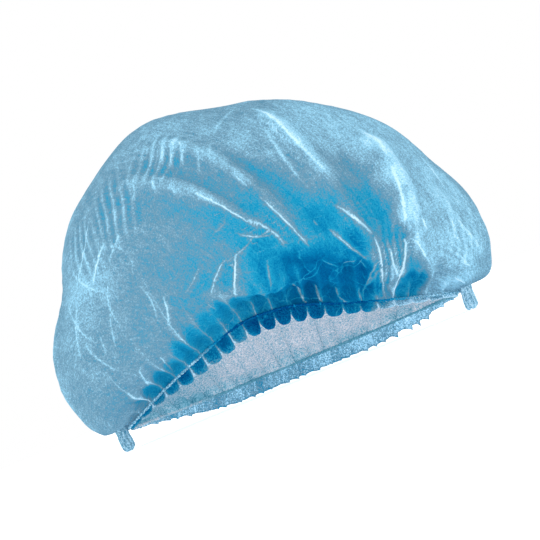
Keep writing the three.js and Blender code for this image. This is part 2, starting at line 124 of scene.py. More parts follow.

# Single thin creases that show as pale lines of painted highlight, each bending through three places, with
# how strongly it shows and its width in millimetres
CREASES = table(
    "along over strength width",
    ((0.293, 0.262, 0.252), (0.241, 0.224, 0.185), 0.3, 1.2),
    ((0.269, 0.264, 0.280), (0.359, 0.296, 0.233), 0.25, 1.4),
    ((0.331, 0.348, 0.325), (0.269, 0.226, 0.205), 0.25, 1.2),
    ((0.328, 0.323, 0.303), (0.196, 0.162, 0.140), 0.35, 1.1),
    ((0.227, 0.207, 0.206), (0.348, 0.285, 0.222), 0.25, 1.4),
    ((0.194, 0.184, 0.186), (0.257, 0.199, 0.142), 0.3, 1.2),
    ((0.566, 0.578, 0.604), (0.070, 0.026, -0.012), 0.9, 1.7),
    ((0.618, 0.626, 0.644), (0.044, 0.014, -0.012), 0.8, 1.6),
    ((0.666, 0.676, 0.698), (0.040, 0.012, -0.012), 0.8, 1.5),
    ((0.719, 0.723, 0.727), (0.044, 0.018, -0.012), 0.7, 1.4),
    ((0.728, 0.746, 0.760), (0.009, 0.058, 0.092), 0.45, 1.8),
    ((0.535, 0.526, 0.525), (0.131, 0.112, 0.092), 0.3, 1.6),
    ((0.474, 0.507, 0.540), (0.230, 0.199, 0.168), 0.75, 1.1),
    ((0.521, 0.553, 0.573), (0.184, 0.168, 0.143), 0.8, 1.6),
    ((0.472, 0.487, 0.500), (0.179, 0.182, 0.187), 0.3, 1.0),
    ((0.505, 0.528, 0.558), (0.171, 0.162, 0.160), 0.7, 1.0),
    ((0.556, 0.584, 0.616), (0.210, 0.173, 0.135), 0.8, 1.1),
    ((0.535, 0.541, 0.550), (0.243, 0.230, 0.219), 0.4, 1.2),
    ((0.472, 0.442, 0.411), (0.149, 0.137, 0.118), 0.7, 0.9),
    ((0.490, 0.472, 0.447), (0.151, 0.129, 0.100), 1.1, 1.0),
    ((0.523, 0.495, 0.465), (0.159, 0.149, 0.145), 0.5, 0.9),
    ((0.426, 0.402, 0.374), (0.156, 0.146, 0.140), 0.4, 0.9),
    ((0.535, 0.528, 0.520), (0.137, 0.114, 0.089), 0.6, 1.0),
    ((0.269, 0.260, 0.252), (0.283, 0.277, 0.271), 0.14, 1.3),
    ((0.394, 0.389, 0.383), (0.317, 0.306, 0.296), 0.23, 1.3),
    ((0.406, 0.401, 0.396), (0.308, 0.303, 0.297), 0.23, 1.3),
    ((0.419, 0.409, 0.399), (0.294, 0.282, 0.268), 0.27, 1.4),
    ((0.437, 0.432, 0.427), (0.274, 0.264, 0.255), 0.23, 1.3),
    ((0.472, 0.455, 0.440), (0.330, 0.305, 0.280), 0.23, 1.7),
    ((0.454, 0.447, 0.440), (0.336, 0.324, 0.310), 0.18, 1.6),
    ((0.469, 0.460, 0.452), (0.310, 0.296, 0.280), 0.23, 1.6),
    ((0.480, 0.470, 0.462), (0.317, 0.291, 0.264), 0.27, 1.6),
    ((0.490, 0.483, 0.475), (0.306, 0.285, 0.261), 0.27, 1.6),
    ((0.505, 0.500, 0.493), (0.288, 0.271, 0.255), 0.23, 1.6),
    ((0.523, 0.518, 0.512), (0.297, 0.282, 0.266), 0.18, 1.6),
    ((0.569, 0.550, 0.530), (0.386, 0.355, 0.310), 0.18, 2.1),
    ((0.530, 0.540, 0.550), (0.246, 0.233, 0.221), 0.23, 1.6),
    ((0.450, 0.452, 0.450), (0.254, 0.244, 0.235), 0.23, 1.6),
    ((0.593, 0.593, 0.594), (0.138, 0.128, 0.115), 0.27, 1.3),
    ((0.631, 0.650, 0.674), (0.114, 0.095, 0.076), 0.5, 1.0),
    ((0.707, 0.692, 0.682), (0.100, 0.092, 0.078), 0.6, 1.0),
    ((0.652, 0.687, 0.730), (0.157, 0.131, 0.100), 0.8, 1.6),
    ((0.631, 0.634, 0.639), (0.171, 0.165, 0.160), 0.5, 1.0),
    ((0.669, 0.702, 0.733), (0.187, 0.165, 0.143), 0.8, 1.6),
    ((0.733, 0.755, 0.793), (0.143, 0.101, 0.000), 0.9, 1.2),
    ((0.713, 0.738, 0.756), (0.344, 0.310, 0.264), 0.25, 2.4),
    ((0.756, 0.776, 0.791), (0.264, 0.207, 0.148), 0.5, 1.4),
    ((0.791, 0.803, 0.809), (0.148, 0.092, 0.000), 1.2, 1.3),
    ((0.769, 0.778, 0.799), (0.126, 0.104, 0.076), 0.7, 1.4),
    ((0.746, 0.741, 0.731), (0.103, 0.064, 0.000), 0.7, 1.0),
    ((0.713, 0.722, 0.730), (0.096, 0.089, 0.079), 0.5, 1.0),
    ((0.855, 0.865, 0.877), (0.232, 0.208, 0.184), 0.3, 1.2),
    ((0.903, 0.917, 0.935), (0.149, 0.152, 0.170), 0.25, 1.0),
    ((0.799, 0.824, 0.854), (0.148, 0.134, 0.112), 0.5, 1.0),
    ((0.925, 0.946, 0.966), (0.100, 0.098, 0.112), 0.7, 1.0),
    ((0.809, 0.816, 0.824), (0.190, 0.180, 0.171), 0.5, 1.2),
    ((0.902, 0.912, 0.923), (0.165, 0.160, 0.160), 0.3, 1.0),
    ((0.851, 0.859, 0.867), (0.232, 0.221, 0.212), 0.3, 1.2),
    ((0.249, 0.231, 0.197), (0.107, 0.078, 0.022), 0.5, 1.0),
    ((0.201, 0.179, 0.143), (0.123, 0.093, 0.051), 0.5, 1.0),
    ((0.146, 0.133, 0.113), (0.120, 0.101, 0.076), 0.4, 1.0),
    ((0.219, 0.209, 0.199), (0.227, 0.212, 0.194), 0.3, 1.2),
    ((0.393, 0.396, 0.396), (0.109, 0.096, 0.078), 0.4, 1.0),
    ((0.345, 0.333, 0.312), (0.159, 0.140, 0.126), 0.6, 1.1),
    ((0.338, 0.303, 0.272), (0.269, 0.275, 0.275), 0.5, 1.4),
    ((0.363, 0.341, 0.318), (0.255, 0.250, 0.249), 0.4, 1.2),
    ((0.336, 0.302, 0.262), (0.342, 0.324, 0.322), 0.4, 1.4),
    ((0.240, 0.204, 0.171), (0.310, 0.296, 0.255), 0.3, 1.4),
    ((0.273, 0.240, 0.212), (0.229, 0.210, 0.174), 0.3, 1.2),
    ((0.593, 0.609, 0.636), (0.316, 0.257, 0.208), 0.3, 1.8),
    ((0.579, 0.624, 0.669), (0.389, 0.286, 0.224), 0.4, 1.6),
    ((0.798, 0.822, 0.846), (0.355, 0.336, 0.311), 0.3, 1.6),
    ((0.12, 0.40, 0.70), (0.462, 0.470, 0.492), 0.3, 1.5),
    ((0.46, 0.66, 0.88), (0.498, 0.468, 0.462), 0.3, 1.5),
    ((0.10, 0.42, 0.80), (0.52, 0.545, 0.52), 0.35, 1.6),
    ((0.16, 0.38, 0.62), (0.64, 0.60, 0.63), 0.4, 1.4),
    ((0.55, 0.72, 0.90), (0.66, 0.65, 0.60), 0.4, 1.4),
    ((0.08, 0.30, 0.52), (0.72, 0.71, 0.75), 0.4, 1.4),
    ((0.50, 0.66, 0.84), (0.80, 0.77, 0.79), 0.35, 1.4),
    ((0.14, 0.28, 0.46), (0.80, 0.82, 0.81), 0.35, 1.2),
    ((0.30, 0.34, 0.36), (0.60, 0.66, 0.71), 0.4, 1.2),
    ((0.66, 0.63, 0.58), (0.55, 0.61, 0.66), 0.4, 1.2),
    ((0.48, 0.50, 0.55), (0.74, 0.79, 0.83), 0.4, 1.2),
)

# Softer puffs all over: waves along and over the crown, and their rise as a share of the crown's
CRUMPLES = table(
    "along over phase rise",
    (7, 5, 0.6, 0.009),
    (12, 4, 2.1, 0.008),
    (5, 10, 4.0, 0.007),
)

# Fans of soft parallel pleats: their middle, their reach to each side, the pitch from one to the
# next and how far they slant, in shares of the strip and of the way over, and how much they show in relief
# and in painted light and shade
PLEAT_FANS = table(
    "along over wide tall pitch slant tone",
    (0.456, 0.298, 0.038, 0.036, 0.0175, 0.8, 0.13),
    (0.372, 0.292, 0.040, 0.050, 0.0165, 0.43, 0.13),
    (0.300, 0.330, 0.030, 0.060, 0.0190, 0.45, 0.09),
    (0.776, 0.100, 0.034, 0.075, 0.0120, -0.3, 0.16),
    (0.885, 0.215, 0.050, 0.070, 0.0190, -0.5, 0.055),
    (0.330, 0.475, 0.120, 0.026, 0.0180, -0.4, 0.10),
    (0.680, 0.485, 0.110, 0.024, 0.0170, 0.5, 0.10),
    (0.700, 0.180, 0.040, 0.040, 0.0150, -0.9, 0.08),
    (0.420, 0.060, 0.120, 0.030, 0.0110, -0.5, 0.05),
    (0.300, 0.560, 0.110, 0.035, 0.0180, 0.6, 0.12),
    (0.620, 0.590, 0.120, 0.035, 0.0170, -0.5, 0.12),
    (0.220, 0.680, 0.080, 0.035, 0.0180, -0.5, 0.12),
    (0.480, 0.680, 0.100, 0.035, 0.0160, 0.5, 0.12),
    (0.780, 0.710, 0.090, 0.040, 0.0180, 0.4, 0.12),
    (0.340, 0.780, 0.100, 0.035, 0.0170, 0.4, 0.12),
    (0.630, 0.840, 0.110, 0.030, 0.0160, -0.4, 0.10),
)

# How deep or pale the cloth looks, partly painted shade and painted light: 0 where it lies double in a
# shaded hollow, 1 where light comes through it, with the reach in millimetres over which that blends into
# its surroundings
TONES = table(
    "along over reach tone",
    (0.260, 0.289, 26, 0.655), (0.196, 0.275, 20, 0.62), (0.174, 0.191, 20, 0.52),
    (0.111, 0.143, 14, 0.50), (0.379, 0.199, 28, 0.51), (0.381, 0.263, 18, 0.57),
    (0.325, 0.166, 22, 0.50), (0.389, 0.140, 16, 0.46), (0.234, 0.210, 20, 0.55),
    (0.505, 0.261, 24, 0.54), (0.474, 0.320, 16, 0.66), (0.533, 0.306, 16, 0.65),
    (0.586, 0.297, 20, 0.63), (0.667, 0.317, 26, 0.71), (0.746, 0.334, 18, 0.70),
    (0.773, 0.291, 18, 0.68), (0.837, 0.275, 24, 0.74), (0.879, 0.194, 20, 0.72),
    (0.845, 0.140, 14, 0.72), (0.930, 0.066, 16, 0.72), (0.581, 0.226, 16, 0.50),
    (0.558, 0.198, 12, 0.38), (0.627, 0.238, 18, 0.56), (0.685, 0.241, 16, 0.56),
    (0.693, 0.196, 14, 0.40), (0.727, 0.179, 12, 0.36), (0.617, 0.196, 13, 0.38),
    (0.644, 0.174, 11, 0.27), (0.593, 0.165, 8, 0.32), (0.513, 0.174, 11, 0.36),
    (0.536, 0.152, 9, 0.28), (0.482, 0.187, 14, 0.40), (0.440, 0.170, 16, 0.48),
    (0.467, 0.129, 12, 0.44), (0.424, 0.120, 10, 0.46), (0.530, 0.132, 9, 0.24),
    (0.526, 0.106, 8, 0.20), (0.589, 0.121, 12, 0.20), (0.637, 0.115, 12, 0.10),
    (0.677, 0.075, 10, 0.02), (0.712, 0.072, 10, 0.02), (0.619, 0.082, 8, 0.04),
    (0.700, 0.131, 9, 0.14), (0.750, 0.040, 7, 0.10), (0.756, 0.109, 7, 0.50),
    (0.782, 0.080, 8, 0.66), (0.773, 0.123, 6, 0.60), (0.806, 0.045, 5, 0.66),
    (0.822, 0.110, 9, 0.34), (0.850, 0.055, 12, 0.22), (0.866, 0.020, 9, 0.24),
    (0.872, 0.110, 8, 0.60), (0.912, 0.025, 8, 0.66), (0.842, 0.198, 12, 0.70),
    (0.735, 0.310, 8, 0.82), (0.764, 0.250, 7, 0.82), (0.790, 0.190, 7, 0.76),
)
# The tone away from every spot, the share of a spot's reach that it fills, and its faint far tail
PLAIN_TONE, PLAIN_WEIGHT = 0.6, 0.02
SPOT_CORE, SPOT_TAIL, TAIL_REACH = 0.62, 0.02, 20 * MM

# The cloth's colours from its deepest tone to its palest
COLOURS = table(
    "tone red green blue",
    (0.0, 0.000, 0.038, 0.150), (0.2, 0.001, 0.135, 0.290),
    (0.36, 0.009, 0.240, 0.400), (0.52, 0.112, 0.214, 0.290),
    (0.62, 0.158, 0.296, 0.388), (0.70, 0.222, 0.440, 0.572),
    (0.78, 0.290, 0.565, 0.712), (1.0, 0.580, 0.800, 0.910),
)

# The inner side of the cloth: bluer where it is deep or near the elastic, pinkish grey elsewhere
INNER_COLOURS = table(
    "tone red green blue",
    (0.0, 0.020, 0.130, 0.200), (0.35, 0.120, 0.300, 0.390),
    (0.55, 0.300, 0.430, 0.510), (0.68, 0.430, 0.425, 0.465),
    (1.0, 0.700, 0.680, 0.700),
)

# The gathers take these in turn: how far over the crown one reaches, and how strongly it shows
GATHER_REACH = (0.13, 0.08, 0.16, 0.1, 0.14, 0.08, 0.18)
GATHER_MARK = (0.9, 0.55, 1.0, 0.7, 0.5, 1.0, 0.75, 0.6)
# How far a gather on the front leaves the strip's own line, at 0, to rise upright, at 1
GATHER_LEAN = 0.5
# Columns of mesh in a gather of the frills and the elastics
GATHER_COLUMNS = 16

# Noises in the cloth's finish: scale, detail and roughness
GRAINS = {
    "speck": (1000.0, 2.0, 0.6),
    "fine": (1900.0, 1.0, 0.5),
    "cloud": (90.0, 4.0, 0.65),
    "fibre": (1.0, 3.0, 0.6),
    "wander": (260.0, 3.0, 0.6),
    "broken": (420.0, 2.0, 0.6),
}
# Sizes of the crumpled facets and of the noise that bends them, as scales
CRUSHED_SCALE, CRUSHED_WARP = 75.0, 60.0
# How finely and how slanted the fibres lie on the cloth
FIBRE_STRETCH, FIBRE_TURN = (90.0, 700.0, 1.0), 1.1

# Rows over the crown: how many up to each share of the way from front hem to back hem
CROWN_ROWS = table("up_to rows", (0.1, 34), (0.45, 74), (0.9, 38), (1.0, 18))
CROWN_COLUMNS = 290
# The share of the strip, at each end, that the crown's cloth leaves to the weld
CROWN_START = 0.004


def number(label, default, about, **kind):
    return bpy.props.FloatProperty(name=label, description=about, default=default, **kind)


def size(label, default, about):
    return number(label, default, about, unit="LENGTH", subtype="DISTANCE", precision=4)


def share(label, default, about):
    return number(label, default, about, subtype="FACTOR")


def paint(label, default, about):
    return bpy.props.FloatVectorProperty(
        name=label, description=about, default=default, subtype="COLOR", size=3, min=0, max=1
    )


def count(label, default, about):
    return bpy.props.IntProperty(name=label, description=about, default=default, min=1)


class CapShape(bpy.types.PropertyGroup):
    end_span: size("Between the ends", 0.213, "Distance between the two welded ends")
    half_width: size("Half width", 0.133, "Reach of the crown to each side")
    rise: size("Rise", 0.161, "Height of the crown above the elastic")
    front: size("Front bulge", 0.076, "How far the crown bulges forwards")
    back: size("Back bulge", 0.096, "How far the crown bulges backwards")
    mouth_front: size("Mouth front", 0.040, "The front elastic forward of the line between the ends")
    mouth_back: size("Mouth back", 0.056, "The back elastic behind the line between the ends")
    hem_lift: size("Hem lift", 0.032, "How high the front hem arches")
    hem_sag: size("Hem sag", 0.0015, "How much lower the back elastic is in its middle")
    elastic_height: size("Elastic height", 0.0115, "Height of the elastic's ends above the floor")
    frill_depth: size("Frill depth", 0.010, "From the elastic's middle to the frill's edge")
    along: size("Cloth along", 0.290, "Mean length of the cloth along the strip")
    over: size("Cloth over", 0.400, "Length of the cloth over the crown from hem to hem")


class CapCloth(bpy.types.PropertyGroup):
    thickness: size("Cloth thickness", 0.0003, "Thickness of the shown cloth")
    band_height: size("Elastic width", 0.0024, "Width of the flat elastic")
    seam_gap: size("Seam gap", 0.0003, "Clearance between neighbouring pieces")
    gathers: count("Gathers", 22, "Gathers along each elastic")
    gather_depth: size("Gather depth", 0.003, "How deep the gathers are at the elastic")
    frill_wave: size("Frill wave", 0.0015, "How far the frill waves in and out")
    frill_flare: size("Frill flare", 0.0016, "How far the frill's edge stands out")
    frill_lift: size("Frill notch", 0.0022, "How deep the notches between the frill's lobes are")
    frill_end: share("Frill end", 0.2, "Depth of the frill at the ends against its full depth")
    ramp_left: share("Left ramp", 0.33, "Share of the strip over which the frill reaches its full depth")
    front_ramp_right: share("Front right ramp", 0.5, "The same at the right end of the front frill")
    back_ramp_right: share("Back right ramp", 0.16, "The same at the right end of the back frill")
    end_margin: share("End margin", 0.012, "Share of the strip that each end weld takes")
    pleat: size("Pleat", 0.019, "Width of one pleat of the folded strip")
    chevron: size("Chevron pitch", 0.0066, "Distance between the slanting creases in a pleat")
    chevron_depth: size("Chevron depth", 0.0002, "Depth of the slanting creases")
    facet_depth: size("Facet depth", 0.0011, "Depth of the crumpled facets")
    hem_wave: size("Hem wave", 0.0007, "How far the hem waves in and out along the elastic")
    cord: size("Cord", 0.0008, "Half the height of the elastic as it shows through the cloth")
    glow: paint("Glow", (0.10, 0.46, 0.70), "Colour of the light that comes through the cloth")


class CapStage(bpy.types.PropertyGroup):
    floor: paint("Floor", (0.93, 0.93, 0.93), "Colour of the plain floor")
    sky: paint("Surroundings", (1.0, 1.0, 1.0), "Colour of the light all round")
    sky_strength: number("Surroundings strength", 1.0, "Strength of the light all round")
    key: number("Key light", 6.0, "Power of the main soft light", unit="POWER")
    fill: number("Fill light", 1.2, "Power of the lesser soft lights", unit="POWER")
    distance: size("Camera distance", 1.2, "Distance from the camera to the cap")
    height: size("Camera height", 0.020, "Height of the camera above the floor")
    aim: size("Aim height", 0.0666, "Height of the point that the camera looks at")
    aside: size("Aim aside", 0.0073, "How far right of the cap's middle the camera looks")
    roll: number("Camera roll", math.radians(22.5), "Turn of the picture", subtype="ANGLE")
    lens: number("Lens", 136.4, "Focal length in millimetres")


def column(rows, name, at):
    """Smooth interpolation of one column of a table whose places are in "at"."""
    places = np.array([row["at"] for row in rows])
    values = np.array([row[name] for row in rows])
    step = np.diff(places)
    slope = np.diff(values) / step
    tangent = np.empty_like(places)
    tangent[0], tangent[-1] = slope[0], slope[-1]
    tangent[1:-1] = (slope[:-1] * step[1:] + slope[1:] * step[:-1]) / (step[1:] + step[:-1])
    i = np.clip(np.searchsorted(places, at, side="left") - 1, 0, len(places) - 2)
    u = (at - places[i]) / step[i]
    return (
        (2 * u**3 - 3 * u**2 + 1) * values[i]
        + (u**3 - 2 * u**2 + u) * step[i] * tangent[i]
        + (3 * u**2 - 2 * u**3) * values[i + 1]
        + (u**3 - u**2) * step[i] * tangent[i + 1]
    )


def smooth(u):
    """Rises softly from 0 at 0 to 1 at 1."""
    u = np.clip(u, 0.0, 1.0)
    return u * u * (3 - 2 * u)


def after(u, start, width):
    """0 up to start, and 1 from a width past it."""
    return smooth((u - start) / width)


def before(u, end, width):
    """0 from end on, and 1 up to a width short of it."""
    return smooth((end - u) / width)


def to_end(u):
    """How far a place between 0 and 1 is from the nearer of the two."""
    return np.minimum(u, 1 - u)


def in_turn(values, turns):
    """The value whose turn it is, from a short list that repeats."""
    return np.array(values)[turns.astype(int) % len(values)]


def unit(v):
    return v / np.maximum(np.linalg.norm(v, axis=-1, keepdims=True), 1e-12)


class Form:
    """The cap's smooth shape in metres, as functions of s along the strip and t over the crown."""

    MOUTH_CURVE = 0.85  # below 1, the mouth's ends are blunter than a sine's
    SAG_ENDS = 0.35  # share of the strip over which the back elastic sinks to its lowest
    LEAVES_HEM = 0.03  # share of the way over within which the crown leaves its hem
    CLEAR_OF_BAND = 2.4  # seam gaps between the elastic and the cloth above it

    def __init__(self, scene):
        self.shape, self.cloth = scene.cap_shape, scene.cap_cloth
        left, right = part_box("left_end_tuft"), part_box("right_end_tuft")
        self.shift = (left[0] + left[1] + right[0] + right[1]) / 4
        self.shift = np.array([self.shift.x, self.shift.y, 0.0])

    def place(self, x, y, z):
        """Points in the shared frame."""
        return np.stack([x, y, z], axis=-1) + self.shift

    def opening(self, s):
        """How far open the mouth is along the strip, from 0 to 1."""
        return np.sin(np.pi * np.clip(s, 0, 1)) ** self.MOUTH_CURVE

    def hem(self, s, side):
        """The elastic's centre line, at the front for side -1 and at the back for side 1."""
        shape = self.shape
        reach = shape.mouth_front if side < 0 else shape.mouth_back
        if side < 0:
            z = shape.elastic_height + shape.hem_lift * column(HEM_ARCH, "lift", np.clip(s, 0, 1))
        else:
            z = shape.elastic_height - shape.hem_sag * smooth(to_end(s) / self.SAG_ENDS)
        return self.place(shape.end_span * (s - 0.5), side * reach * self.opening(s), z)

    def hem_frame(self, s, side):
        """Directions at the hem: level and out of the mouth, and down."""
        step = 1e-3
        ahead = unit(self.hem(s + step, side) - self.hem(s - step, side))
        out = unit(np.stack([ahead[..., 1], -ahead[..., 0], 0 * s], axis=-1) * -side)
        down = unit(np.cross(ahead, out))
        return out, down * -np.sign(down[..., 2:3])

    def crown(self, s, t):
        """The crown's smooth surface, before folds, gathers and creases."""
        shape = self.shape
        tip = shape.half_width * column(SECTIONS, "out", s)
        top = shape.rise * column(SECTIONS, "up", s)
        deep = column(SECTIONS, "deep", s)
        belly = column(SECTIONS, "belly", s)
        front, back = shape.front * deep, shape.back * deep

        def neck(u):
            return belly * ((1 - NECK_SLOPE) * (1 - np.cos(u * np.pi / 2)) + NECK_SLOPE * u)

        u0 = np.clip(t / FRONT_BELLY, 0, 1)
        u1 = np.clip((t - FRONT_BELLY) / (SUMMIT - FRONT_BELLY), 0, 1) * np.pi / 2
        u2 = np.clip((BACK_BELLY - t) / (BACK_BELLY - SUMMIT), 0, 1) * np.pi / 2
        u3 = np.clip((1 - t) / (1 - BACK_BELLY), 0, 1)
        hem_front, hem_back = self.hem(s, -1) - self.shift, self.hem(s, 1) - self.shift
        y0 = hem_front[..., 1] - (front + hem_front[..., 1]) * np.sin(u0 * np.pi / 2) ** NECK_TURN
        y3 = hem_back[..., 1] + (back - hem_back[..., 1]) * np.sin(u3 * np.pi / 2) ** NECK_TURN
        part = [t < FRONT_BELLY, t < SUMMIT, t < BACK_BELLY]
        y = np.select(part, [y0, -front * np.cos(u1), back * np.cos(u2)], y3)
        over = belly + (1 - belly) * np.sin(u1), belly + (1 - belly) * np.sin(u2)
        height = np.select(part, [neck(u0), over[0], over[1]], neck(u3))
        lift = np.where(
            t < SUMMIT,
            (hem_front[..., 2] - shape.elastic_height) * (1 - smooth(u0)),
            (hem_back[..., 2] - shape.elastic_height) * (1 - smooth(u3)),
        )
        root = shape.end_span * (s - 0.5)
        gap = self.cloth.seam_gap
        above = self.cloth.band_height / 2 + self.CLEAR_OF_BAND * gap
        start = shape.elastic_height + gap + (above - gap) * smooth(to_end(t) / self.LEAVES_HEM)
        return self.place(root + height * (tip - root), y, start + lift + height * top)

    def runs(self, s, t, step):
        """The crown's run along and over round each place, and the shares that it takes."""
        s0, s1 = np.maximum(s - step, 0), np.minimum(s + step, 1)
        t0, t1 = np.maximum(t - step, 0), np.minimum(t + step, 1)
        along, over = self.crown(s1, t) - self.crown(s0, t), self.crown(s, t1) - self.crown(s, t0)
        return along, over, s1 - s0, t1 - t0

    def crown_out(self, s, t):
        """The crown's outward direction, which turns level where the crown meets its hem."""
        along, over, _, _ = self.runs(s, t, 1e-3)
        out = unit(np.cross(along, over))
        level = np.where((t < 0.5)[..., None], self.hem_frame(s, -1)[0], self.hem_frame(s, 1)[0])
        return unit(level + (out - level) * smooth(to_end(t) / self.LEAVES_HEM)[..., None])

    def hem_places(self, u):
        """Places along the strip, for shares of the hem between the two welds."""
        return self.cloth.end_margin + (1 - 2 * self.cloth.end_margin) * u

    def turns(self, s):
        """Gathers from the left weld up to each place."""
        return self.cloth.gathers * (s - self.cloth.end_margin) / (1 - 2 * self.cloth.end_margin)

    def pinch(self, s):
        """1 on a gather's sharp crest and -0.6 half-way to the next."""
        return 1 - 1.6 * np.abs(np.sin(np.pi * self.turns(s))) ** 0.8

    def end_fade(self, s):
        """0 at the welded ends and 1 away from them."""
        return after(to_end(s), 0.03, 0.07)

    def lean(self, s, t, x):
        """The place along the hem from which the gather at s and t rises."""
        upright = np.clip((x - self.shift[0]) / self.shape.end_span + 0.5, 0, 1)
        return s + GATHER_LEAN * (upright - s) * (t < 0.5)

    def spacing(self, s, t):
        """Metres of cloth for a unit of s and for a unit of t."""
        along, over, share_s, share_t = self.runs(s, t, 2e-3)
        return np.linalg.norm(along, axis=-1) / share_s, np.linalg.norm(over, axis=-1) / share_t


def bend(values, u):
    """The smooth bend through three values."""
    a, b, c = values
    return a * (1 - u) * (1 - 2 * u) + b * 4 * u * (1 - u) + c * u * (2 * u - 1)


def along_line(s, t, spacing, line_s, line_t):
    """Metres from each place to a line of short steps, how far along it, and on which side."""
    best = np.full(s.shape, 1e9)
    where, side = np.zeros(s.shape), np.ones(s.shape)
    steps = len(line_s) - 1
    for k in range(steps):
        px, py = (s - line_s[k]) * spacing[0], (t - line_t[k]) * spacing[1]
        dx = (line_s[k + 1] - line_s[k]) * spacing[0]
        dy = (line_t[k + 1] - line_t[k]) * spacing[1]
        u = np.clip((px * dx + py * dy) / (dx * dx + dy * dy), 0, 1)
        away = np.hypot(px - u * dx, py - u * dy)
        near = away < best
        best = np.where(near, away, best)
        where = np.where(near, (k + u) / steps, where)
        side = np.where(near, np.where(px * dy > py * dx, 1.0, -1.0), side)
    return best, where, side


def fold_relief(form, s, t, spacing):
    """Height of the main folds, some with a thin sharp crest."""
    rise = form.shape.rise
    crest, crest_width, roundness = 0.7 * MM, 1.6 * MM, 1.5
    height = np.zeros(s.shape)
    u = np.linspace(0, 1, FOLD_STEPS + 1)
    for fold in FOLDS:
        away, where, _ = along_line(s, t, spacing, bend(fold["along"], u), bend(fold["over"], u))
        fade = smooth(where / FOLD_FADE) * smooth((1 - where) / FOLD_FADE)
        height += fold["rise"] * rise * fade * np.exp(-((away / (fold["spread"] * rise)) ** roundness))
        height += fold["edge"] * fade * crest * np.exp(-away / crest_width)
    return height * smooth(to_end(t) / 0.02)


class Lines:
    """The nearest thin crease at each place: signed distance, strength and width."""

    REACH = 6 * MM
    THIN = 0.5 * MM
    FAINTEST = 0.03  # a weaker crease isn't drawn

    def __init__(self, places):
        self.distance = np.full(places, self.REACH)
        self.second = np.full(places, self.REACH)
        self.strength, self.width = np.zeros(places), np.full(places, self.THIN)

    def draw(self, chosen, distance, strength, width):
        """Puts a crease where it is nearer than those before, and keeps the second nearest."""
        shown = strength > self.FAINTEST
        near = (np.abs(distance) < np.abs(self.distance[chosen])) & shown
        next_near = (np.abs(distance) < np.abs(self.second[chosen])) & shown & ~near
        self.second[chosen[next_near]] = distance[next_near]
        at = chosen[near]
        self.second[at] = self.distance[at]
        self.distance[at] = distance[near]
        self.strength[at] = strength[near]
        self.width[at] = width

    def draw_each_turn(self, turns, pitch, strength, width):
        """A crease at each whole turn, faded out half-way to the next."""
        away = turns - np.round(turns)
        shown = strength * before(np.abs(away), 0.42, 0.2)
        self.draw(np.arange(len(turns)), away * pitch, shown, width)

    def marks(self):
        """Between two creases the distance changes sign, so the strength fades out there."""
        here = np.abs(self.distance)
        apart = after(np.abs(self.second), here, 2.5 * MM)
        on_it = before(here, 1.2 * MM, 0.6 * MM)
        clear = np.where(self.distance * self.second < 0, np.maximum(apart, on_it), 1.0)
        return {"line": self.distance, "line_strength": self.strength * clear, "line_width": self.width}


def crown_lines(form, s, t, spacing, phase):
    """Creases that show as pale lines of painted highlight on the crown."""
    lines = Lines(len(s))
    turns = form.turns(phase)
    reach, mark = in_turn(GATHER_REACH, np.round(turns)), in_turn(GATHER_MARK, np.round(turns))
    pitch = (1 - 2 * form.cloth.end_margin) / form.cloth.gathers
    longer = 1 + 0.6 * before(phase, 0.4, 0.1) - 0.62 * after(phase, 0.42, 0.06)
    reach = reach * np.where(t < 0.5, longer, 1.9)
    quiet = 1 - 0.6 * after(phase, 0.5, 0.05) * before(phase, 0.76, 0.04)
    mark = mark * np.where(t < 0.5, quiet, 0.7)
    fade = np.clip(1.1 - to_end(t) / (0.8 * reach), 0, 1)
    lines.draw_each_turn(turns, pitch * spacing[0], 0.7 * mark * fade * form.end_fade(s), Lines.THIN)
    u = np.linspace(0, 1, FOLD_STEPS + 1)
    # Each line's places along and over, strength, width in mm, and share over which it fades in
    drawn = [(c["along"], c["over"], c["strength"], c["width"], 0.05) for c in CREASES]
    soft_folds = [fold for fold in FOLDS if 0 < fold["edge"] < 0.7]
    drawn += [(f["along"], f["over"], 0.3 * f["edge"], 1.4, 0.75) for f in soft_folds]
    # Only places within these margins of a line are worked out
    margin_s, margin_t = 0.05, 0.04
    for along, over, strength, width, start in drawn:
        line_s, line_t = bend(along, u), bend(over, u)
        window = (s > line_s.min() - margin_s) & (s < line_s.max() + margin_s)
        window &= (t > line_t.min() - margin_t) & (t < line_t.max() + margin_t)
        chosen = np.flatnonzero(window)
        local = spacing[0][chosen], spacing[1][chosen]
        away, where, side = along_line(s[chosen], t[chosen], local, line_s, line_t)
        fade = np.clip(4 * where * (1 - where), 0, 1) ** 0.7 * smooth(where / start)
        lines.draw(chosen, away * side, strength * fade, 0.75 * width * MM)
    return lines


def gather_relief(form, s, t, phase):
    """Gathers that run up from the elastic, each with its own reach."""
    cloth = form.cloth
    from_hem = to_end(t)
    fade = 1 - smooth(from_hem / in_turn(GATHER_REACH, np.round(form.turns(phase))))
    pinch = form.pinch(phase)
    depth = cloth.hem_wave + (cloth.gather_depth - cloth.hem_wave) * smooth(from_hem / 0.025)
    return depth * pinch * form.end_fade(s) * fade, fade, pinch


def crumple_relief(form, s, t):
    """Height of the softer puffs."""
    total = np.zeros(s.shape)
    for wave in CRUMPLES:
        along = wave["along"] * np.pi * s + 1.7 * np.sin(5 * t + wave["phase"])
        over = wave["over"] * np.pi * t + 1.3 * np.sin(6 * s + wave["phase"])
        total += wave["rise"] * np.sin(along + wave["phase"]) * np.sin(over)
    return total * form.shape.rise * smooth(to_end(s) / 0.12)


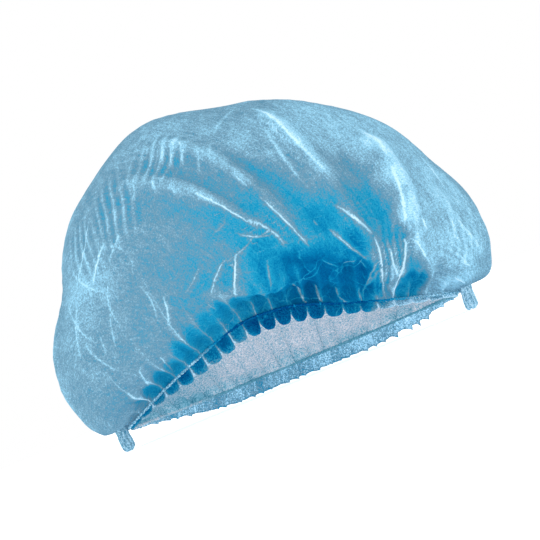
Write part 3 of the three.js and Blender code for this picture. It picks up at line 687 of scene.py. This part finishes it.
def chevron_relief(form, s, t):
    """Slanting creases in each pleat, which turn at its edges."""
    cloth, shape = form.cloth, form.shape
    x, y = s * shape.along, t * shape.over
    slant = 1.04
    across = (y + 1.044 * (x - 0.1)) / math.hypot(1, slant)
    ahead = (x - slant * y) / math.hypot(1, slant)
    wobble = 1.5 * MM * np.sin(ahead / (23 * MM)) + 1.2 * MM * np.sin(ahead / (9 * MM) + 2)
    turn = (across + wobble) / cloth.pleat
    zig = np.abs((turn % 2) - 1)
    phase = (ahead + 0.9 * cloth.pleat * zig) / cloth.chevron
    crease = 1 - 2 * np.abs(np.sin(np.pi * phase)) ** 0.7
    edge = 1 - np.abs(((turn + 0.5) % 1) - 0.5) * 2
    patch = 0.5 + 0.5 * np.sin(s * 17 + 1.5 * np.sin(t * 19)) * np.sin(t * 23 + 2 * np.sin(s * 13) + 1)
    away = after(to_end(t), 0.05, 0.06)
    return cloth.chevron_depth * (crease * patch + 0.8 * edge**6) * away


def facet_relief(form, s, t):
    """Crumpled facets: round pits with sharp walls between them, longer over the crown."""
    shape, cloth = form.shape, form.cloth
    mean_pit = 0.45
    rng = np.random.default_rng(11)
    total = np.zeros(s.shape)
    for amount, pits, stretch in ((1.0, 130, 1.7), (0.5, 420, 1.4)):
        seeds = rng.random((pits, 2)) * (shape.along, shape.over) / (1, stretch)
        x, y = s * shape.along, t * shape.over / stretch
        near = np.full(s.shape, 1e9)
        for seed in seeds:
            near = np.minimum(near, np.hypot(x - seed[0], y - seed[1]))
        spacing = math.sqrt(shape.along * shape.over / stretch / pits)
        total += amount * (near / spacing - mean_pit)
    return cloth.facet_depth * total * smooth(to_end(s) / 0.05)


def pleat_fans(s, t):
    """Soft parallel pleats in a few places, between -1 and 1, with how much each shows."""
    total = np.zeros(s.shape)
    for fan in PLEAT_FANS:
        across = (s - fan["along"]) - fan["slant"] * (t - fan["over"])
        inside = ((s - fan["along"]) / fan["wide"]) ** 2 + ((t - fan["over"]) / fan["tall"]) ** 2
        turn = across / fan["pitch"] + 0.2 * np.sin(t * 60)
        total += fan["tone"] * np.exp(-(inside**2)) * (1 - 2 * np.abs(np.sin(np.pi * turn)) ** 0.8)
    return total


def row_places():
    """Places of the crown's rows of mesh over the crown, closer where its relief is finer."""
    places = [0.0]
    for row in CROWN_ROWS:
        start = places[-1]
        places += [start + (row["up_to"] - start) * (j + 1) / row["rows"] for j in range(row["rows"])]
    return np.array(places)


def grid_piece(name, columns, rows, half_side=0.5):
    """A flat grid with its places u across and v along it, their order by rows and the way back."""
    bm = bmesh.new()
    bmesh.ops.create_grid(bm, x_segments=columns, y_segments=rows, size=half_side)
    mesh = bpy.data.meshes.new(name)
    bm.to_mesh(mesh)
    bm.free()
    piece = bpy.data.objects.new(name, mesh)
    bpy.context.scene.collection.objects.link(piece)
    places = np.empty(len(mesh.vertices) * 3)
    mesh.vertices.foreach_get("co", places)
    places = places.reshape(-1, 3)
    lowest, highest = places.min(0), places.max(0)
    u = (places[:, 0] - lowest[0]) / (highest[0] - lowest[0])
    v = (places[:, 1] - lowest[1]) / (highest[1] - lowest[1])
    order = np.lexsort((np.round(u * columns), np.round(v * rows)))
    back = np.empty_like(order)
    back[order] = np.arange(len(order))
    return piece, u, v, order, back


def lay(piece, points, cloth_map, marks):
    """Puts a grid's vertices in place and stores what its material reads."""
    mesh = piece.data
    mesh.vertices.foreach_set("co", np.ascontiguousarray(points, dtype=np.float64).ravel())
    corner = np.empty(len(mesh.loops), dtype=np.int64)
    mesh.loops.foreach_get("vertex_index", corner)
    layer = mesh.uv_layers.new(name="cloth")
    layer.data.foreach_set("uv", np.stack(cloth_map, axis=-1)[corner].astype(np.float32).ravel())
    for name, values in marks.items():
        mark = mesh.attributes.new(name, "FLOAT", "POINT")
        mark.data.foreach_set("value", np.asarray(values, dtype=np.float32))
    for polygon in mesh.polygons:
        polygon.use_smooth = True
    mesh.update()


def face_outwards(piece, direction):
    """Turns the grid's faces if they look against the given outward directions."""
    mesh = piece.data
    normals = np.empty(len(mesh.vertices) * 3)
    mesh.vertices.foreach_get("normal", normals)
    if (normals.reshape(-1, 3) * direction).sum() < 0:
        mesh.flip_normals()


def close_tube(piece):
    """Merges a tube's seam, fills its ends and makes its faces look outwards."""
    bm = bmesh.new()
    bm.from_mesh(piece.data)
    bmesh.ops.remove_doubles(bm, verts=bm.verts, dist=1e-6)
    open_edges = [edge for edge in bm.edges if edge.is_boundary]
    bmesh.ops.holes_fill(bm, edges=open_edges, sides=0)
    bmesh.ops.recalc_face_normals(bm, faces=bm.faces)
    for face in bm.faces:
        face.smooth = True
    bm.to_mesh(piece.data)
    bm.free()


def blur(grid, times):
    """Blends each value of a grid with its neighbours, over and over."""
    for _ in range(times):
        padded = np.pad(grid, 1, mode="edge")
        grid = (padded[:-2, 1:-1] + 2 * grid + padded[2:, 1:-1]) / 4
        padded = np.pad(grid, 1, mode="edge")
        grid = (padded[1:-1, :-2] + 2 * grid + padded[1:-1, 2:]) / 4
    return grid


class Wire:
    """A socket whose sums, differences, products and quotients add their Math nodes."""

    def __init__(self, paint_shop, socket):
        self.shop, self.socket = paint_shop, socket

    def _math(self, operation, *values):
        node = self.shop.node("ShaderNodeMath", {"operation": operation}, dict(enumerate(values)))
        return Wire(self.shop, node.outputs[0])

    def __add__(self, other):
        return self._math("ADD", self, other)

    __radd__ = __add__

    def __mul__(self, other):
        return self._math("MULTIPLY", self, other)

    __rmul__ = __mul__

    def __sub__(self, other):
        return self._math("SUBTRACT", self, other)

    def __rsub__(self, other):
        return self._math("SUBTRACT", other, self)

    def __truediv__(self, other):
        return self._math("DIVIDE", self, other)

    def __rtruediv__(self, other):
        return self._math("DIVIDE", other, self)

    def __abs__(self):
        return self._math("ABSOLUTE", self)

    def clamp(self, low=0.0, high=1.0):
        return self._math("MINIMUM", self._math("MAXIMUM", self, low), high)


class PaintShop:
    """One material's node tree."""

    def __init__(self, name):
        self.material = bpy.data.materials.new(name)
        self.material.use_nodes = True
        self.tree = self.material.node_tree
        self.tree.nodes.clear()

    def node(self, kind, settings=None, sockets=None):
        """A new node of a type, with its settings and the values or links of its sockets."""
        node = self.tree.nodes.new(kind)
        for name, value in (settings or {}).items():
            setattr(node, name, value)
        for name, value in (sockets or {}).items():
            socket = node.inputs[name]
            if isinstance(value, Wire):
                self.tree.links.new(value.socket, socket)
            elif isinstance(value, bpy.types.NodeSocket):
                self.tree.links.new(value, socket)
            else:
                socket.default_value = value
        return node

    def out(self, node, name=0):
        return Wire(self, node.outputs[name])

    def mark(self, name):
        """What a piece's vertices store under a name."""
        return self.out(self.node("ShaderNodeAttribute", {"attribute_name": name}), "Fac")

    def object_place(self):
        return self.out(self.node("ShaderNodeTexCoord"), "Object")

    def cloth_place(self, stretch, turn):
        """A place on the cloth itself, turned and then stretched."""
        uv = self.node("ShaderNodeUVMap", {"uv_map": "cloth"})
        turned = self.node("ShaderNodeMapping", {}, {"Vector": self.out(uv), "Rotation": (0, 0, turn)})
        stretched = self.node("ShaderNodeMapping", {}, {"Vector": self.out(turned), "Scale": stretch})
        return self.out(stretched)

    def cells(self, place, scale, feature, output):
        """Crumpled facets: the distance to their edges, or a plain value for each."""
        settings = {"voronoi_dimensions": "3D", "feature": feature}
        node = self.node("ShaderNodeTexVoronoi", settings, {"Vector": place, "Scale": scale})
        return self.out(node, output)

    def warped(self, place, scale, amount):
        """A place pushed about by soft noise."""
        sockets = {"Vector": place, "Scale": scale, "Detail": 2.0}
        noise = self.out(self.node("ShaderNodeTexNoise", {"noise_dimensions": "3D"}, sockets), "Color")
        centred = self.vector("SUBTRACT", noise, (0.5,) * 3)
        return self.vector("MULTIPLY_ADD", centred, (amount,) * 3, place)

    def vector(self, operation, *values):
        node = self.node("ShaderNodeVectorMath", {"operation": operation}, dict(enumerate(values)))
        return self.out(node)

    def ramp(self, tone, rows):
        """The colour for a tone, blended between the rows of a table."""
        shade = colour((rows[0]["red"], rows[0]["green"], rows[0]["blue"]))
        for low, high in zip(rows, rows[1:]):
            step = ((tone - low["tone"]) * (1 / (high["tone"] - low["tone"]))).clamp()
            shade = self.mix(step, shade, colour((high["red"], high["green"], high["blue"])))
        return shade

    def noise(self, place, scale, detail, roughness):
        sockets = {"Vector": place, "Scale": scale, "Detail": detail, "Roughness": roughness}
        return self.out(self.node("ShaderNodeTexNoise", {"noise_dimensions": "3D"}, sockets), "Fac")

    def mix(self, factor, first, second):
        """A blend of two colours."""
        sockets = {0: factor, 6: first, 7: second}
        return self.out(self.node("ShaderNodeMix", {"data_type": "RGBA"}, sockets), 2)

    def bump(self, height, strength, distance):
        sockets = {"Height": height, "Strength": strength, "Distance": distance}
        return self.out(self.node("ShaderNodeBump", {}, sockets))

    def finish(self, shader):
        self.node("ShaderNodeOutputMaterial", {}, {"Surface": shader})
        return self.material


def colour(value):
    """A colour with the fourth value that sockets want."""
    return (*value, 1.0)


def nonwoven(name, rows, glow, through, grain, painted_glow, painted_crease_light=1.0):
    """Bonded fibre cloth: speckled tones, thin creases and crumpled facets marked by painted highlight and
    painted shade, light coming through, and a painted glow.
    """
    shop = PaintShop(name)
    place = shop.object_place()
    speck, fine, cloud = (shop.noise(place, *GRAINS[kind]) for kind in ("speck", "fine", "cloud"))
    fibre = shop.noise(shop.cloth_place(FIBRE_STRETCH, FIBRE_TURN), *GRAINS["fibre"])
    crushed = shop.warped(place, CRUSHED_WARP, 12 * MM)
    edge = shop.cells(crushed, CRUSHED_SCALE, "DISTANCE_TO_EDGE", "Distance")
    facet = shop.cells(crushed, CRUSHED_SCALE, "F1", "Color")
    network = (1.0 - edge * 22.0).clamp()
    tint = (speck - 0.5) * (0.95 * grain) + (fine - 0.5) * (0.8 * grain) + (cloud - 0.5) * 0.22
    tint = tint + (fibre - 0.5) * 0.3 + (facet - 0.5) * 0.06
    relief = speck * 0.5 + cloud * 0.9 + fibre * 0.5 + network * 0.35

    # A crease has a painted highlight along its crest and in a soft halo on both sides, and painted shade
    # in a deep hollow on one side; where the creases' lightness is given negative, the highlight turns to
    # painted shade
    strength = shop.mark("line_strength")
    distance = shop.mark("line") + (shop.noise(place, *GRAINS["wander"]) - 0.5) * (1.6 * MM)
    crest = (1.0 - abs(distance) / shop.mark("line_width")).clamp() * strength
    painted_crease_halo = (1.0 - abs(distance) * (1 / (3.6 * MM))).clamp() * strength
    beside = (distance * (1 / (3.2 * MM))).clamp()
    painted_crease_shade = beside * (1.0 - beside) * strength
    level = shop.mark("tone")
    tint = tint * (level * 1.3 + 0.2).clamp(0.35, 1.0)
    tint = tint + crest * (shop.noise(place, *GRAINS["broken"]) * 0.8 + 0.1) * painted_crease_light - painted_crease_shade * 0.34
    tint = tint + painted_crease_halo * (0.2 * painted_crease_light)
    # The crumpled facets' edges are painted paler, most in deep cloth: a painted highlight on their ridges
    crushed_here = (1.05 - level * 1.9).clamp(0.12, 1.0) * (cloud * 2.6 - 1.05).clamp()
    tint = tint + network * crushed_here * (0.42 * painted_crease_light)
    tone = level + tint
    shade = shop.ramp(tone.clamp(), rows)
    cloth = shop.node(
        "ShaderNodeBsdfPrincipled",
        {},
        {
            "Base Color": shade,
            "Roughness": 0.85,
            "Specular IOR Level": 0.0,
            # The emission is a painted glow of the cloth's own colour, standing in for light that fills
            # its hollows and comes through it
            "Emission Color": shade,
            "Emission Strength": painted_glow,
            "Normal": shop.bump(relief + crest * 1.2, 0.6, 0.7 * MM),
        },
    )
    lit = shop.node("ShaderNodeBsdfTranslucent", {}, {"Color": colour(glow)})
    thinness = (tone * 1.6 - 0.3).clamp() * through
    both = shop.node("ShaderNodeMixShader", {}, {0: thinness, 1: cloth.outputs[0], 2: lit.outputs[0]})
    return shop.finish(both.outputs[0])


def add_cloth_thickness(piece, thickness, inner_material=False):
    """Gives a sheet its thickness inwards, with its second material inside if it has one."""
    shell = piece.modifiers.new("thickness", "SOLIDIFY")
    shell.thickness = thickness
    shell.offset = -1.0
    shell.use_even_offset = False
    if inner_material:
        shell.material_offset = 1


def keep(piece, slot, *nodes):
    """Fixes a finished piece to the cap in place of its plain solids."""
    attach(piece, BODY)
    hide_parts(*nodes)


def cloth_materials(cloth):
    """The finishes that several pieces share, made once."""
    made = bpy.data.materials
    if "crown_outside" not in made:
        # Each finish glows in its own colour, a painted light, most inside the crown and on the far frill;
        # inside, the creases are painted shade instead of painted highlight
        nonwoven("crown_outside", COLOURS, cloth.glow, 0.25, grain=0.55, painted_glow=0.15)
        nonwoven("crown_inside", INNER_COLOURS, cloth.glow, 0.1, grain=1.5, painted_glow=0.65, painted_crease_light=-0.9)
        nonwoven("hem_outside", COLOURS, cloth.glow, 0.2, grain=1.2, painted_glow=0.2)
        nonwoven("far_frill", COLOURS, cloth.glow, 0.2, grain=1.1, painted_glow=0.45)
    return made


def laid_tone(s, t, spacing):
    """The tone that the table of spots gives, each blended into its surroundings."""
    total, weight = np.full(s.shape, PLAIN_TONE * PLAIN_WEIGHT), np.full(s.shape, PLAIN_WEIGHT)
    for spot in TONES:
        away = np.hypot((s - spot["along"]) * spacing[0], (t - spot["over"]) * spacing[1])
        near = np.exp(-((away / (spot["reach"] * SPOT_CORE * MM)) ** 2))
        near += SPOT_TAIL * np.exp(-away / TAIL_REACH)
        total += spot["tone"] * near
        weight += near
    return total / weight


def crown_tone(form, s, t, spacing, phase, fine, broad, fans):
    """How deep or pale the crown's cloth looks, from its place, with painted light and shade from its
    relief.
    """
    crest, swell = np.clip(fine / (0.5 * MM), -1, 1), np.clip(broad / (3 * MM), -1, 1)
    # Paler on crests and swells and darker in dents and hollows: painted light and shade from the relief
    tone = laid_tone(s, t, spacing) + 0.07 * crest + 0.08 * swell

    # The front hem: a deep band of lobes up to a wavy top, deep blue of gathered cloth and painted shade
    # under the overhanging crown, and a pale one at the right end
    turns = form.turns(phase)
    lobe = np.abs(np.sin(np.pi * turns)) ** 0.7 * in_turn(GATHER_MARK, np.floor(turns))
    band_top = 0.060 + 0.038 * after(s, 0.12, 0.2) + 0.022 * lobe
    band_tone = 0.30 - 0.15 * after(s, 0.46, 0.12) - 0.08 * lobe
    # The deep band is partly painted shade under the overhanging crown
    deep_band_and_shade = before(t, band_top, 0.03) * after(s, 0.02, 0.14) * before(s, 0.78, 0.06)
    tone += deep_band_and_shade * (band_tone - tone) * 0.88
    tone += before(t, 0.035, 0.02) * after(s, 0.86, 0.05) * (0.62 - tone) * 0.9
    # The pleat fans paint light and shade: paler on their ridges and darker between them
    tone += fans * np.clip(1.6 * tone, 0.3, 1.0)

    # Behind the ridge: even cloth with soft clouds and painted shade from its relief, deeper at the back
    # hem and at its left
    behind = 0.66 - 0.10 * np.sin(9 * s + 4 * np.sin(7 * t)) * np.sin(19 * t + 3 * np.sin(5 * s))
    behind += 0.08 * swell
    behind += (0.70 - behind) * after(t, 0.82, 0.06)
    tone += after(t, 0.47, 0.08) * (behind - tone) * 0.9
    tone -= 0.15 * after(t, 0.955, 0.03) * (1 + 0.5 * np.sin(s * 40))
    tone -= 0.22 * after(t, 0.8, 0.08) * before(s, 0.38, 0.2)
    return tone


class CAP_OT_crown(bpy.types.Operator):
    """Lay the puffed cloth of the crown, with its folds, gathers and creases"""

    bl_idname = "cap.make_crown"
    bl_label = "Crown"

    def execute(self, context):
        form = Form(context.scene)
        shape, cloth = form.shape, form.cloth
        places = row_places()
        rows, columns = len(places) - 1, CROWN_COLUMNS
        piece, u, v, order, back = grid_piece("crown_cloth", columns, rows)
        s = CROWN_START + (1 - 2 * CROWN_START) * u
        t = np.interp(v * rows, np.arange(rows + 1), places)
        smooth_form = form.crown(s, t)
        spacing = form.spacing(s, t)
        phase = form.lean(s, t, smooth_form[:, 0])
        gathers, near_hem, pinch = gather_relief(form, s, t, phase)
        fans = pleat_fans(s, t)
        lines = crown_lines(form, s, t, spacing, phase)

        # At the right end the pleats' edges stand out in small teeth
        ragged = 0.6 * MM * np.abs(np.sin(np.pi * t * shape.over / (7.5 * MM))) * after(s, 0.83, 0.06)
        at_hem = smooth(to_end(t) / 0.012)
        height = fold_relief(form, s, t, spacing) + gathers + crumple_relief(form, s, t)
        small = chevron_relief(form, s, t) + facet_relief(form, s, t) + 3 * MM * fans + ragged
        sunk, crest, crest_width = 0.8 * MM, 0.5 * MM, 1.5 * MM
        height += (small - sunk) * at_hem
        height += crest * lines.strength * np.exp(-np.abs(lines.distance) / crest_width) * at_hem

        # Small and large relief, told apart by blurring, for the painted light and shade in the tones
        grid = height[order].reshape(rows + 1, columns + 1)
        fine = (grid - blur(grid, 5)).ravel()[back]
        broad = (blur(grid, 4) - blur(grid, 60)).ravel()[back]
        tone = crown_tone(form, s, t, spacing, phase, fine, broad, fans)
        # Paler on the gathers' crests near the hem: a painted highlight
        tone += 0.05 * np.clip(pinch - 0.45, 0, 1) * near_hem * at_hem

        out = form.crown_out(s, t)
        cloth_map = s * shape.along, t * shape.over
        lay(piece, smooth_form + out * height[:, None], cloth_map, {"tone": tone, **lines.marks()})
        face_outwards(piece, out)
        made = cloth_materials(cloth)
        piece.data.materials.append(made["crown_outside"])
        piece.data.materials.append(made["crown_inside"])
        add_cloth_thickness(piece, cloth.thickness, inner_material=True)
        keep(piece, "crown_cloth", "crown")
        return {"FINISHED"}


class CAP_OT_frills(bpy.types.Operator):
    """Lay the frill below each elastic: round lobes at the front, fine teeth at the back"""

    bl_idname = "cap.make_frills"
    bl_label = "Frills"

    def execute(self, context):
        form = Form(context.scene)
        cloth, shape = form.cloth, form.shape
        root, pitch = cloth.seam_gap, shape.end_span / cloth.gathers
        for side, name, seed in ((-1, "front_frill", 3), (1, "back_frill", 8)):
            columns, rows = cloth.gathers * GATHER_COLUMNS, 12
            piece, u, v, _, _ = grid_piece(name + "_cloth", columns, rows)
            s = form.hem_places(u)
            out, down = form.hem_frame(s, side)
            notch = Lines(len(s))
            turns = form.turns(s)
            whole = np.floor(turns + 1e-6)
            inside_lobe = np.maximum(turns - whole, 0)
            rng = np.random.default_rng(seed)
            uneven = rng.random(cloth.gathers + 2)[np.clip(whole.astype(int), 0, cloth.gathers)]
            mark = in_turn(GATHER_MARK, np.round(turns))
            fade = form.end_fade(s)
            crest = form.pinch(s) * fade
            ramp_right = cloth.front_ramp_right if side < 0 else cloth.back_ramp_right
            ramp = smooth(s / cloth.ramp_left) * smooth((1 - s) / ramp_right)
            full = cloth.frill_end + (1 - cloth.frill_end) * ramp
            fall = (shape.frill_depth - root) * full
            if side < 0:
                # Round lobes with sharp notches between them, deepest and darkest in the middle, the
                # darkness being painted shade under the overhanging crown
                middle = np.abs(2 * inside_lobe**1.25 - 1)
                notched = 1.4 + 1.2 * after(s, 0.38, 0.08) * before(s, 0.74, 0.06)
                fall = fall - cloth.frill_lift * notched * middle**3.4 * fade * full
                fall = fall - 1.7 * MM * (uneven - 0.3) * (1 - middle**2) * fade * full
                centre = after(s, 0.4, 0.06) * before(s, 0.76, 0.04)
                # The notches show as pale lines of painted highlight, fainter in the middle
                notch.draw_each_turn(turns, pitch, mark * fade * (1 - 0.8 * centre), 0.8 * MM)
                tone = 0.17 + (0.28 - 0.2 * centre) * v**3 + 0.2 * (uneven - 0.5) - 0.1 * centre
                tone += 0.15 * before(s, 0.1, 0.08) + 0.5 * after(s, 0.7, 0.18)
                # Paler beside the notches: a painted highlight
                tone += 0.3 * np.clip((middle - 0.8) / 0.2, 0, 1) * v
            else:
                # A ragged pale edge of fine teeth
                tooth = ((turns * 1.3 + 0.25 * np.sin(turns * 2.3)) % 1) ** 4
                ragged = 1.1 + 2.0 * after(s, 0.72, 0.1) * before(s, 0.97, 0.05)
                fall = fall - (ragged + 0.2) * MM + ragged * MM * tooth + 0.2 * MM * np.sin(turns * 9)
                # Faint pale lines at the notches, a painted highlight
                notch.draw_each_turn(turns, pitch, 0.25 * mark, Lines.THIN)
                tone = 0.58 + 0.06 * np.sin(turns * 2.1) + 0.06 * (uneven - 0.5) - 0.16 * (v > 0.9)
                streak = np.abs(np.sin(turns * 7.3 + 1.5 * np.sin(turns * 1.9) + 1.2 * v)) ** 0.6
                tone += 0.11 * after(s, 0.2, 0.6) + 0.1 * (0.75 - streak)
            fall = np.minimum(fall, shape.frill_depth - root)
            sway = (cloth.frill_flare * fade + 0.9 * cloth.frill_wave * crest) * v
            lean = 1.1 * MM * (inside_lobe - 0.5) * (1 if side < 0 else 1.6) * v
            point = form.hem(s, side) + down * (root + fall * v)[:, None]
            point += out * (cloth.hem_wave * crest * (1 - v) + sway + lean)[:, None]
            point[:, 2] = np.maximum(point[:, 2], 0.05 * MM)
            lay(piece, point, (s * shape.along, v * 9 * MM), {"tone": tone, **notch.marks()})
            face_outwards(piece, out)
            piece.data.materials.append(cloth_materials(cloth)["hem_outside" if side < 0 else "far_frill"])
            add_cloth_thickness(piece, cloth.thickness)
            keep(piece, "hem_cloth", name)
        return {"FINISHED"}


class CAP_OT_elastics(bpy.types.Operator):
    """Lay the two elastics, gathered with the cloth that is welded round them"""

    bl_idname = "cap.make_elastics"
    bl_label = "Elastics"

    def execute(self, context):
        form = Form(context.scene)
        cloth = form.cloth
        for side, name in ((-1, "front_elastic"), (1, "back_elastic")):
            columns, rows = cloth.gathers * GATHER_COLUMNS, 10
            piece, u, v, _, _ = grid_piece(name + "_band", columns, rows)
            s = form.hem_places(u)
            out, down = form.hem_frame(s, side)
            turn = 2 * np.pi * v
            bead = 1 + 0.22 * np.sin(2 * np.pi * form.turns(s) * 5) + 0.16 * np.sin(form.turns(s) * 17)
            proud = 0.35 * MM if side < 0 else -0.55 * MM
            wave = cloth.hem_wave * form.pinch(s) * form.end_fade(s) + proud
            point = form.hem(s, side)
            point += out * (np.cos(turn) * 0.8 * cloth.cord * bead + wave)[:, None]
            point += down * (np.sin(turn) * cloth.cord * bead)[:, None]
            if side < 0:
                # The front elastic is pale at the ends and deep in the middle, where it meets the deep
                # band and its painted shade under the overhanging crown
                bright = 0.62 - 0.58 * after(s, 0.24, 0.14) + 0.58 * after(s, 0.72, 0.2)
                finish, colours = "front_weld", COLOURS
            else:
                bright = 0.22 + 0.3 * before(s, 0.3, 0.15)
                finish, colours = "back_elastic_finish", INNER_COLOURS
            marks = {"tone": bright, **Lines(len(s)).marks()}
            lay(piece, point, (s * form.shape.along, v * 5 * MM), marks)
            close_tube(piece)
            # The elastics glow in their own colour, a painted light
            piece.data.materials.append(nonwoven(finish, colours, cloth.glow, 0.1, grain=1.3, painted_glow=0.4))
            keep(piece, "elastic", name)
        return {"FINISHED"}


# The tuft's width against its widest, from the foot up
TUFT_PROFILE = table(
    "at wide",
    (0.0, 0.5), (0.04, 0.78), (0.1, 0.92), (0.26, 1.0),
    (0.45, 0.98), (0.65, 0.9), (0.8, 0.94), (1.0, 1.0),
)


class CAP_OT_tufts(bpy.types.Operator):
    """Form the crushed pleats that hang from each welded end"""

    bl_idname = "cap.make_tufts"
    bl_label = "End tufts"

    def execute(self, context):
        form = Form(context.scene)
        cloth = form.cloth
        for side, name in ((-1, "left_end_tuft"), (1, "right_end_tuft")):
            low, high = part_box(name)
            centre, half = (low + high) / 2, (high - low) / 2
            columns, rows = 96, 40
            piece, u, v, _, _ = grid_piece(name + "_cloth", columns, rows)
            turn = 2 * np.pi * u
            flutes = 4.5 * turn + 1.1 * np.sin(3 * v) + side
            reach = (1 - 0.13 * np.abs(np.sin(flutes)) ** 0.7) * column(TUFT_PROFILE, "wide", v)
            reach = reach * np.where(v > 0.99, 0.3, 1.0)
            top = high.z + 3.2 * MM
            foot = 0.5 * MM * (1 + np.sin(3 * turn + 1)) * (1 - smooth(v / 0.2))
            point = np.stack(
                [
                    centre.x + half.x * reach * np.cos(turn) + side * 0.8 * MM * v,
                    centre.y + half.y * reach * np.sin(turn),
                    low.z + (top - low.z) * v + foot,
                ],
                axis=-1,
            )
            lines = Lines(len(v))
            # The flutes show as pale lines of painted highlight
            lines.draw_each_turn(flutes / np.pi, 2.5 * MM, 0.3 + 0 * v, Lines.THIN)
            marks = {"tone": 0.7 + 0.06 * side - 0.1 * v, **lines.marks()}
            lay(piece, point, (u * 25 * MM, v * 14 * MM), marks)
            close_tube(piece)
            piece.data.materials.append(cloth_materials(cloth)["hem_outside"])
            keep(piece, "hem_cloth", name)
        return {"FINISHED"}


class CAP_OT_declare(bpy.types.Operator):
    """Does nothing: no cut size of the cloth is stated"""

    bl_idname = "cap.declare_cloth"
    bl_label = "Cloth size"

    def execute(self, context):
        return {"FINISHED"}


class CAP_OT_stage(bpy.types.Operator):
    """Set the floor, the soft lights and the camera at the photograph's angle"""

    bl_idname = "cap.make_stage"
    bl_label = "Stage"

    def execute(self, context):
        scene = context.scene
        stage = scene.cap_stage
        form = Form(scene)
        floor = grid_piece("floor", 8, 8, 14.0)[0]
        shop = PaintShop("floor_finish")
        cloud = shop.noise(shop.object_place(), 3.0, 2.0, 0.5)
        shade = shop.mix(cloud * 0.15, colour(stage.floor), colour([0.97 * v for v in stage.floor]))
        base = shop.node(
            "ShaderNodeBsdfPrincipled",
            {},
            {
                "Base Color": shade,
                "Roughness": 0.9,
                "Specular IOR Level": 0.05,
                "Emission Color": colour(stage.floor),
                "Emission Strength": 0.6,
            },
        )
        floor.data.materials.append(shop.finish(base.outputs[0]))

        world = bpy.data.worlds.new("surroundings")
        world.use_nodes = True
        back = world.node_tree.nodes["Background"]
        back.inputs["Color"].default_value = colour(stage.sky)
        back.inputs["Strength"].default_value = stage.sky_strength
        scene.world = world
        scene.view_settings.view_transform = "Standard"
        scene.view_settings.look = "None"

        aim = Vector((form.shift[0] + stage.aside, form.shift[1], stage.aim))
        for name, power, place, across in (
            ("key", stage.key, (-0.55, -0.75, 0.95), 0.7),
            ("fill", stage.fill, (0.85, -0.45, 0.45), 0.8),
            ("behind", stage.fill, (0.35, 0.9, 0.7), 0.8),
        ):
            light = bpy.data.lights.new(name, "AREA")
            light.energy, light.size = power, across
            lamp = bpy.data.objects.new(name, light)
            lamp.location = place
            lamp.rotation_mode = "QUATERNION"
            lamp.rotation_quaternion = (aim - lamp.location).to_track_quat("-Z", "Y")
            scene.collection.objects.link(lamp)

        lens = bpy.data.cameras.new("camera")
        lens.lens, lens.sensor_width = stage.lens, 36.0
        camera = bpy.data.objects.new("camera", lens)
        camera.location = (aim.x, aim.y - stage.distance, stage.height)
        looking = (aim - camera.location).to_track_quat("-Z", "Y")
        camera.rotation_mode = "QUATERNION"
        camera.rotation_quaternion = looking @ Matrix.Rotation(-stage.roll, 3, "Z").to_quaternion()
        scene.collection.objects.link(camera)
        scene.camera = camera
        return {"FINISHED"}


class CAP_PT_panel(bpy.types.Panel):
    """The cap's sizes, colours and pieces"""

    bl_idname = "CAP_PT_panel"
    bl_label = "Pleated cap"
    bl_space_type = "VIEW_3D"
    bl_region_type = "UI"
    bl_category = "Cap"

    def draw(self, context):
        layout = self.layout
        for group in (context.scene.cap_shape, context.scene.cap_cloth, context.scene.cap_stage):
            box = layout.box()
            for name in group.__annotations__:
                box.prop(group, name)
        for operator in OPERATORS:
            layout.operator(operator.bl_idname)


GROUPS = (CapShape, CapCloth, CapStage)
OPERATORS = (CAP_OT_stage, CAP_OT_crown, CAP_OT_frills, CAP_OT_elastics, CAP_OT_tufts, CAP_OT_declare)


def register():
    for item in (*GROUPS, *OPERATORS, CAP_PT_panel):
        bpy.utils.register_class(item)
    bpy.types.Scene.cap_shape = bpy.props.PointerProperty(type=CapShape)
    bpy.types.Scene.cap_cloth = bpy.props.PointerProperty(type=CapCloth)
    bpy.types.Scene.cap_stage = bpy.props.PointerProperty(type=CapStage)


def unregister():
    for name in ("cap_shape", "cap_cloth", "cap_stage"):
        delattr(bpy.types.Scene, name)
    for item in reversed((*GROUPS, *OPERATORS, CAP_PT_panel)):
        bpy.utils.unregister_class(item)


def main():
    register()
    bpy.ops.cap.make_stage()
    bpy.ops.cap.make_crown()
    bpy.ops.cap.make_frills()
    bpy.ops.cap.make_elastics()
    bpy.ops.cap.make_tufts()
    bpy.ops.cap.declare_cloth()


if __name__ == "__main__":
    main()
